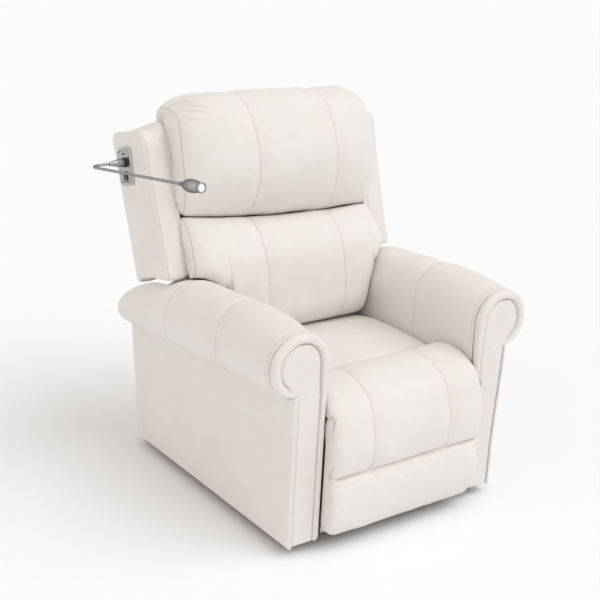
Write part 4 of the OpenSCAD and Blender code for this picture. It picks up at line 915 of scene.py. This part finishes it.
def side_cover(name, side):
    """Outer side panel: between its front edge, its sloping rear edge, the foot and the falling seam
    under the roll; softly uneven over its padding, and a little fuller at the top front of the arm away
    from the lamp."""
    thick, edge = 11.8, 8

    def place(S, T, h):
        q = T / SIDE_TALL
        rear = ARM_REAR - (q * 340) * REAR_SLOPE
        ahead = (ROLL_START + 25) + (rear - ROLL_START - 25) * (S / SIDE_LONG)
        top = roll_up(ahead) - 86.5 + 9 * ease((26 - S) / 10)
        fuller = 12 * ease((T - 120) / 300) * ease((300 - S) / 240) * (side > 0)
        return chair_points(353.2 + fuller + h, ahead, FLOOR_GAP + q * (top - FLOOR_GAP))

    def shape(S, T):
        return 1.5 * lumps(S, T, 260, 81 + (side > 0)) + 0.5 * lumps(S, T, 90, 83) \
            + 0.9 * folds(S, T, [(30, 395, -50, 40, 8, 1), (760, 390, 40, 50, 9, 1), (20, 30, 70, 40, 8, 1)])
    return padded_plate(name, side, place, edge_steps(SIDE_LONG, edge, 90),
                        edge_steps(SIDE_TALL, edge, 60), thick, edge, shape)


def keyhole_cover(name, side):
    """Front panel of an arm: a row at each height from its straight inner edge to an outer edge that
    follows the round scroll above and the post below, joined by a hollow curve; domed by a few millimetres.
    The neck of the arm away from the lamp is up to 12 mm wider."""
    r, wide, thick, edge = SCROLL_R - 0.6, 70, 16.5, 8
    tall = ROLL_UP + r - FLOOR_GAP

    def place(S, T, h):
        up = FLOOR_GAP + T
        half = np.sqrt(np.maximum(0, r**2 - np.clip(up - ROLL_UP, -r, r) ** 2))
        low = np.interp(up, (436, 446, 453, 461, 471, 483, 492),
                        (352.6, 353.2, 355.0, 360.5, 369.5, 380.0, 385.3))
        low = low + 12 * ease((up - 150) / 300) * (1 - ease((up - 440) / 50)) * (side > 0)
        outer = np.where(up > ROLL_UP - 49, ROLL_X + half, low)
        inner = np.where(up > ROLL_UP, ROLL_X - half, 281.9 + 3.6 * ease((up - 420) / 110))
        return chair_points(inner + (outer - inner) * S / wide, ROLL_START + 6 + h, up)

    def shape(S, T):
        return 0.8 * lumps(S, T, 90, 91 + (side > 0)) + 2.5 * bell(S - 35, 30) * bell(T - 515, 45) \
            + folds(S, T, [(30, 440, 60, 26, 7, -1.6), (22, 412, 80, 32, 8, -1.4), (40, 60, 85, 40, 9, -1.4),
                           (34, 250, 88, 60, 10, -1.2)])
    rows = crowded(0, tall, 150, (0, tall, tall - 20, 430), 24, 3.5)
    return padded_plate(name, side, place, edge_steps(wide, 7, 38), rows, thick, edge, shape, stand=0.6)


def inner_lining():
    """Inner arm panels: the plain tucked-down part of the arm covers beside the seat, both sides."""
    long, tall, edge = 700, 64, 3
    S, T = np.meshgrid(edge_steps(long, edge, 40), edge_steps(tall, edge, 12))
    near = np.minimum(np.minimum(S, long - S), np.minimum(T, tall - T))
    front, back = (chair_points(ARM_INSIDE - h, 374 - S, 350.5 + T)
                   for h in (2.6 * quarter(near, edge), 0 * near))
    panel = np.concatenate([front, back[:, ::-1]], 1)
    return put_grids("inner_arm_lining", [panel * (side, 1, 1) for side in (-1, 1)])


def arm_rear_cover(name, side):
    """Rear panel of an arm: a thin padded strip on the sloping rear edge, from the foot to the start of the
    arc, with a flap that folds round the edge onto the inner side and ends behind the skirt."""
    flap_wide, skirt_rear = 50, -394
    wide, tall, thick, edge = 145.3, 383, 2.6, 5

    def place(S, T, h):
        up, s = FLOOR_GAP + 2 + T, S - flap_wide
        rear = np.maximum(rear_edge(up), arc_ahead(np.maximum(up, HINGE_UP)))
        flap = np.clip(skirt_rear - rear, 1, 60) * np.maximum(-s, 0) / flap_wide
        round_edge = ease((s + 2) / 4)
        return chair_points(SEAT_HALF + np.maximum(s, 0) + (1 - h) * (1 - round_edge),
                            rear + flap + (2.4 - h) * round_edge, up)
    return padded_plate(name, side, place, edge_steps(wide, edge, 44), edge_steps(tall, edge, 42), thick,
                        edge, lambda S, T: 0.5 * lumps(S, T, 90, 97))


def skirt_cover():
    """Rear skirt between the arms: a padded panel with a row of stitches round it."""
    wide, tall, thick, edge, skirt_front = 522, 303, 7.4, 7, -385.6
    return padded_plate("rear_skirt_cover", 1.0,
                        lambda S, T, h: chair_points(S - wide / 2, skirt_front - h, FLOOR_GAP + T),
                        edge_steps(wide, edge, 70), edge_steps(tall, edge, 50), thick, edge,
                        lambda S, T: 0.8 * lumps(S, T, 150, 101), seam_in=16.0)


def rear_cover():
    """Outside back: from its foot up the rear of the frame, round the top edge and forward over the top
    rail and the corners beside the head cushion; narrow below the wings' feet, full width above, with a
    stitched border."""
    wide, foot, wing_foot = 338.0, 52, 264
    x = crowded(-wide, wide, 110, (-248, 248, -330, 330), 9, 3.0)
    X, front, high = spread(x, smooth_line(
        [(-40.5, 52), (-48, 52.5), (-53.5, 57), (-55, 70), (-55, 200), (-55, 400), (-55, 600), (-55, 678),
         (-52.5, 686), (-46, 691.5), (-36, 693.5), (-20, 694), (-2, 694), (30, 692.5), (62, 690.5)], 170))
    out = ease((np.abs(X) - 246) / 5)
    high = np.maximum(high, foot + (wing_foot - foot) * out)
    front = np.where((high <= wing_foot + 1) & (out > 0.9), -44.0, front)
    uneven = 1.6 * lumps(X, high, 200, 111) * ease((640 - high) / 60) * ease((high - 90) / 60)
    front = front + round_off(X, wide, 12) * 0.5 * ease((690 - high) / 20) \
        + uneven * ease((310 - np.abs(X)) / 40)

    def shell(X, n, high):
        return back_points(X * (1 - 0.038 * ease((n + 6) / 10)), n, high)
    points = shell(X, front, high)
    n, v = smooth_line([(62, 689), (30, 690), (-2, 691), (-36, 691), (-40.6, 688), (-40.6, 300),
                        (-40.6, 54)], 40).T
    inside = shell(X[:, :1], n, np.maximum(v, foot + 1 + (wing_foot - foot - 0.5) * out[:, :1]))
    return put_soft("rear_cover", points, inside, np.abs(two_tone(X, (312.0,))), arc_length(points), PLAIN,
                    merge=1e-5)


# ---------------------------------------------------------------- reading lamp

LAMP_RISE, LAMP_INWARD = math.radians(6.0), math.radians(6.4)
NECK_BEND, NECK_RUN, NECK_OUT, NECK_FROM = 35.0, 378.0, 77.0, 47.0
NECK_TURN, NECK_STRAIGHT = math.pi / 2 + LAMP_INWARD, NECK_OUT - NECK_FROM
NECK_LONG = NECK_STRAIGHT + NECK_BEND * NECK_TURN + NECK_RUN
SOCKET_X = -413.0
PLATE_AT, SOCKET_AT = (20, 585), (8, 12)  # the plate's middle on the back, and the socket's on the plate


def turned(a, b, angle):
    """(a, b) turned by an angle."""
    return a * math.cos(angle) - b * math.sin(angle), a * math.sin(angle) + b * math.cos(angle)


def on_plate(a, b):
    """A place on the lamp's plate, a ahead and b up in the plate's own turn, as (ahead, up)."""
    p, q = turned(*PLATE_AT, BACK_LEAN), turned(a, b, BACK_LEAN - LAMP_RISE)
    return HINGE_AHEAD + p[0] + q[0], HINGE_UP + p[1] + q[1]


def plate_points(outline, high):
    """Points on the lamp's plate for an outline of (ahead, up) in its own turn, high out from the wing."""
    return chair_points(-WING_OUT - high, *on_plate(outline[:, 0], outline[:, 1]))


def lamp_points(out, fore, over):
    """Points in the lamp's own turn: out along -X from the socket, fore ahead and rising 6 degrees, and
    over square to both."""
    ahead, up = on_plate(*SOCKET_AT)
    fore, over = turned(fore, over, LAMP_RISE)
    return chair_points(SOCKET_X - out, ahead + fore, up + over)


def neck_rings(t, radial, count):
    """Rings of a given radius square to the middle line of the neck, t millimetres from its start:
    straight out, round the bend of 96.4 degrees, then the straight run inwards."""
    t, radial = (np.asarray(v, float)[:, None] for v in (t, radial))
    a = np.clip((t - NECK_STRAIGHT) / NECK_BEND, 0, NECK_TURN)
    rest = np.maximum(0, t - NECK_STRAIGHT - NECK_BEND * NECK_TURN)
    out = NECK_FROM + np.minimum(t, NECK_STRAIGHT) + NECK_BEND * np.sin(a) + rest * math.cos(NECK_TURN)
    ahead = NECK_BEND * (1 - np.cos(a)) + rest * math.sin(NECK_TURN)
    k = np.linspace(0, 2 * np.pi, count + 1)[:-1]
    side = radial * np.cos(k)
    return lamp_points(out - side * np.sin(a), ahead + side * np.cos(a), radial * np.sin(k))


def lamp_neck_tube():
    """Flexible neck: a tube whose radius ripples every 2.4 mm like a wound tube."""
    t = np.linspace(0, NECK_LONG + 2, 820)
    rings = neck_rings(t, 3.75 + 0.25 * np.sin(2 * np.pi * t / 2.4), 14)
    return put_grids("lamp_neck_tube", [ends_closed(rings, shares=(0.5, 0.0))[0]])


def lamp_head_shell():
    """Lamp head: a slim neck piece, a swelling bell, a rim with a step, and a hollow for the lens, as
    (radius, length)."""
    bell_part = smooth_line([(4.2, 0), (5.6, 0.6), (6.2, 3), (6.2, 8), (7.2, 13), (10.5, 21), (14.6, 31),
                             (17.2, 42), (17.9, 52), (17.3, 62), (15.7, 72), (13.8, 80), (12.9, 84)], 60)
    rim = [(12.9, 84.4), (13.9, 84.8), (14.1, 86), (14.1, 93.6), (13.7, 94.6), (12.7, 94.9), (11.8, 94.4),
           (11.6, 91.5), (11.6, 89.4)]
    r, length = np.concatenate([bell_part, rim]).T
    rings = neck_rings(NECK_LONG + length, r, 48)
    return put_grids("lamp_head_shell", [ends_closed(rings, shares=(0.0,))[0]])


def lamp_lens_disc():
    """Lens: a shallow dome ringed with fine steps."""
    r = np.linspace(11.5, 0.0, 28)
    depth = 89.2 + 2.2 * np.sqrt(np.clip(1 - (r / 12.5) ** 2, 0, 1)) + 0.12 * np.cos(r * 2.4)
    rings = neck_rings(NECK_LONG + np.append(88.9, depth), np.append(11.5, r), 48)
    middle = rings[:1].mean(1, keepdims=True) + 0 * rings[:1]
    return put_grids("lamp_lens_disc", [np.concatenate([middle, rings])])


def lamp_collar_turned():
    """Collar: a stem in the socket, a knurled ring (30 ridges) between two plain bands, a cone and a
    ferrule, as (radius, length)."""
    p = np.array([(0.2, 1.6), (3.9, 1.6), (3.9, 8.4), (10.4, 8.4), (11, 8.9), (11.2, 11.2), (10.2, 11.6),
                  (10.2, 12.4), (11.2, 12.8), (11.4, 13.4), (11.4, 22.6), (11.2, 23.2), (10.0, 23.6),
                  (10.0, 24.6), (11.0, 25), (11.2, 26.6), (9.6, 27.4), (9.3, 32), (8.4, 37), (7.2, 43),
                  (6.6, 44.2), (6.6, 45.4), (5.9, 46), (5.9, 52), (5.4, 52.8), (4.0, 52.9)])
    p = np.concatenate([np.linspace(p[i], p[i + 1], 4)[:-1] for i in range(len(p) - 1)] + [p[-1:]])
    k = np.linspace(0, 2 * np.pi, 121)[:-1]
    r, length = p[:, :1], p[:, 1:]
    r = r + 0.35 * np.cos(30 * k) * ((length > 13.4) & (length < 22.6))
    rings = lamp_points(length + 0 * r, r * np.cos(k), r * np.sin(k))
    return put_grids("lamp_collar_turned", [ends_closed(rings, shares=(0.0,))[0]])


def lamp_plate_frame():
    """Stepped bright border round the lamp's plate: a closed strip of (half width, half height, corner
    radius, height over the wing), up its outer edge, over two steps and down inside."""
    rows = [(39.5, 53, 11, 0.0), (39.5, 53, 11, 4.0), (39.1, 52.6, 10.7, 5.2), (38.0, 51.5, 10, 6.0),
            (36.6, 50.1, 9.4, 6.2), (36.2, 49.7, 9.2, 6.3), (35.8, 49.3, 9.0, 8.0), (35.0, 48.5, 8.6, 8.8),
            (33.2, 46.7, 8.0, 9.0), (32.0, 45.5, 7.4, 8.6), (31.4, 44.9, 7.0, 8.0), (31.2, 44.7, 6.9, 5.0),
            (31.2, 44.7, 6.9, 0.5), (39.5, 53, 11, 0.0)]
    rings = [plate_points(round_box(-w, w, -h, h, [r] * 4, 10, 8), high) for w, h, r, high in rows]
    return put_grids("lamp_plate_frame", [np.stack(rings)])


def plate_slots():
    """Two slots with bright rims, near the plate's top and near its foot: shallow dishes painted nearly black,
    as nickel in shade, to stand for the shade inside the slots.
    """
    grids = []
    for b, w, h in ((36.0, 9.0, 2.3), (-42.0, 9.0, 1.6)):
        o = round_box(-w, w, -h, h, [h - 0.05] * 4, 8, 6)
        rims = ((1.0, 8.0), (1.0, 8.35), (0.96, 8.45), (0.9, 8.3), (0.85, 8.12), (0.0, 8.1))
        grids.append(np.stack([plate_points(o * k + (0, b), high) for k, high in rims]))
    return put_grids("lamp_plate_slots", grids)


# ---------------------------------------------------------------- making the chair

for name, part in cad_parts.items():
    held = part.data.materials[0].name.split(".")[0] if part.data.materials else "dark_steel"
    finish = SLOT_FINISH.get(held, SLOT_FINISH["dark_steel"])
    part.data.materials.clear()
    part.data.materials.append(satin if name == "lamp_plate" else finish)

# Each row: piece, body, material, the nodes it stands for, share of filling
for row in ((head_pillow(), "back", sewn_cover, ["head_cushion"], 0.8),
            (lumbar_pillow(), "back", sewn_cover, ["lumbar_cushion"], 0.75),
            (front_roll(), "base", sewn_cover, ["seat_front_roll"], 0.85),
            (footrest_cover(), "footrest", sewn_cover, ["footrest_pad"], 0.8),
            (finer(seat_pad()), "base", sewn_cover, ["seat_cushion"], 0.7),
            (rear_cover(), "back", sewn_cover, ["back_cover"]),
            (skirt_cover(), "base", sewn_cover, ["rear_skirt"]),
            (inner_lining(), "base", cover, ["inner_arm_panels"])):
    finish_piece(*row)
for side, hand in ((1, "left_"), (-1, "right_")):
    for row in ((finer(wing_cover(hand + "wing_cover", side)), "back", sewn_cover, [hand + "wing"], 0.9),
                (finer(arm_cover(hand + "arm_cover", side)), "base", sewn_cover, [hand + "arm_roll"], 0.85),
                (band_cover(hand + "band_cover", side), "base", sewn_cover, [hand + "arm_band"], 0.9),
                (side_cover(hand + "side_cover", side), "base", cover, [hand + "side_panel"], 0.9),
                (keyhole_cover(hand + "front_cover", side), "base", cover, [hand + "front_panel"], 0.9),
                (arm_rear_cover(hand + "arm_rear_cover", side), "base", cover, (), 0.9)):
        finish_piece(*row)
finish_piece(lamp_neck_tube(), "lamp", nickel, ["lamp_neck"], slot="brushed_nickel")
finish_piece(lamp_head_shell(), "lamp", nickel, ["lamp_head"], slot="brushed_nickel")
finish_piece(lamp_lens_disc(), "lamp", lens, ["lamp_lens"], slot="lamp_lens")
finish_piece(lamp_collar_turned(), "lamp", nickel, ["lamp_collar"], slot="brushed_nickel")
finish_piece(plate_slots(), "back", painted_shade_nickel, slot="brushed_nickel")
finish_piece(lamp_plate_frame(), "back", satin, slot="brushed_nickel")


# ---------------------------------------------------------------- floor, light and camera

def pale_floor():
    """A round floor of rings, 80 m across."""
    r = np.append(0.0, np.geomspace(0.5, 40, 16))[:, None]
    a = np.linspace(0, 2 * np.pi, 65)[:-1]
    piece = put_grids("floor", [np.stack([r * np.cos(a), r * np.sin(a), 0 * r * a - 0.0005], -1)])
    m, w, shader, place = start_material("pale_floor")
    speck = w.times(w.noise(place, 60.0, 3.0), 0.06)
    w.fill(shader, Base_Color=w.blend(speck, (0.945, 0.965, 0.985, 1), (0.915, 0.935, 0.955, 1)), Roughness=0.9,
           Specular_IOR_Level=0.1)
    piece.data.materials.append(m)


def soft_sky(strength):
    """Even studio light; a seen, mirrored or refracted sky is plain white."""
    world = bpy.data.worlds.new("studio")
    bpy.context.scene.world = world
    world.use_nodes = True
    w = Wiring(world.node_tree)
    light = world.node_tree.nodes["Background"]
    w.fill(light, Color=(1.0, 0.947, 0.892, 1), Strength=strength)
    seen = w.fill(w.add("Background"), Color=(1, 1, 1, 1))
    path = w.add("LightPath").outputs
    either = w.math("MAXIMUM", w.math("MAXIMUM", path["Is Camera Ray"], path["Is Glossy Ray"]),
                    path["Is Transmission Ray"])
    mix = w.add("MixShader")
    for k, value in enumerate((either, light.outputs[0], seen)):
        w.feed(mix.inputs[k], value)
    w.feed(world.node_tree.nodes["World Output"].inputs[0], mix.outputs[0])


def soft_sun(name, energy, spread_angle, turn, tip, tone):
    """A wide soft lamp: tip is its angle from straight down, turn its compass angle."""
    data = bpy.data.lights.new(name, "SUN")
    data.energy, data.angle, data.color = energy, math.radians(spread_angle), tone
    lamp = bpy.data.objects.new(name, data)
    lamp.rotation_euler = (math.radians(tip), 0, math.radians(turn))
    bpy.context.scene.collection.objects.link(lamp)


def photo_camera():
    """Camera from the solved view: yaw, pitch and roll of the picture in radians, the lens from its focal
    length in pixels of a picture 600 wide, and its place from the solved one times the chair's scale."""
    yaw, pitch, tilt, focal, width, film, scale = -0.6452, -0.3432, 0.052, 1265.1945, 600, 36, 0.87
    ahead = np.array([-math.sin(yaw) * math.cos(pitch), math.cos(yaw) * math.cos(pitch), math.sin(pitch)])
    right = np.array([math.cos(yaw), math.sin(yaw), 0.0])
    up = np.cross(right, ahead)
    r, u = math.cos(tilt) * right + math.sin(tilt) * up, -math.sin(tilt) * right + math.cos(tilt) * up
    data = bpy.data.cameras.new("camera")
    data.lens, data.sensor_width, data.clip_end = focal * film / width, film, 200
    camera = bpy.data.objects.new("camera", data)
    place = Matrix(np.column_stack([r, u, -ahead]).tolist()).to_4x4()
    place.translation = (-2.4241 * scale, -2.6645 * scale - 0.4, 2.0233 * scale)
    camera.matrix_world = place
    bpy.context.scene.collection.objects.link(camera)
    bpy.context.scene.camera = camera


pale_floor()
soft_sky(0.64)
soft_sun("key", 1.29, 50, 40, 38, (0.955, 0.99, 1.045))
soft_sun("fill", 0.42, 70, -75, 55, (1.0, 0.965, 0.93))
photo_camera()
bpy.context.scene.view_settings.view_transform = "Standard"
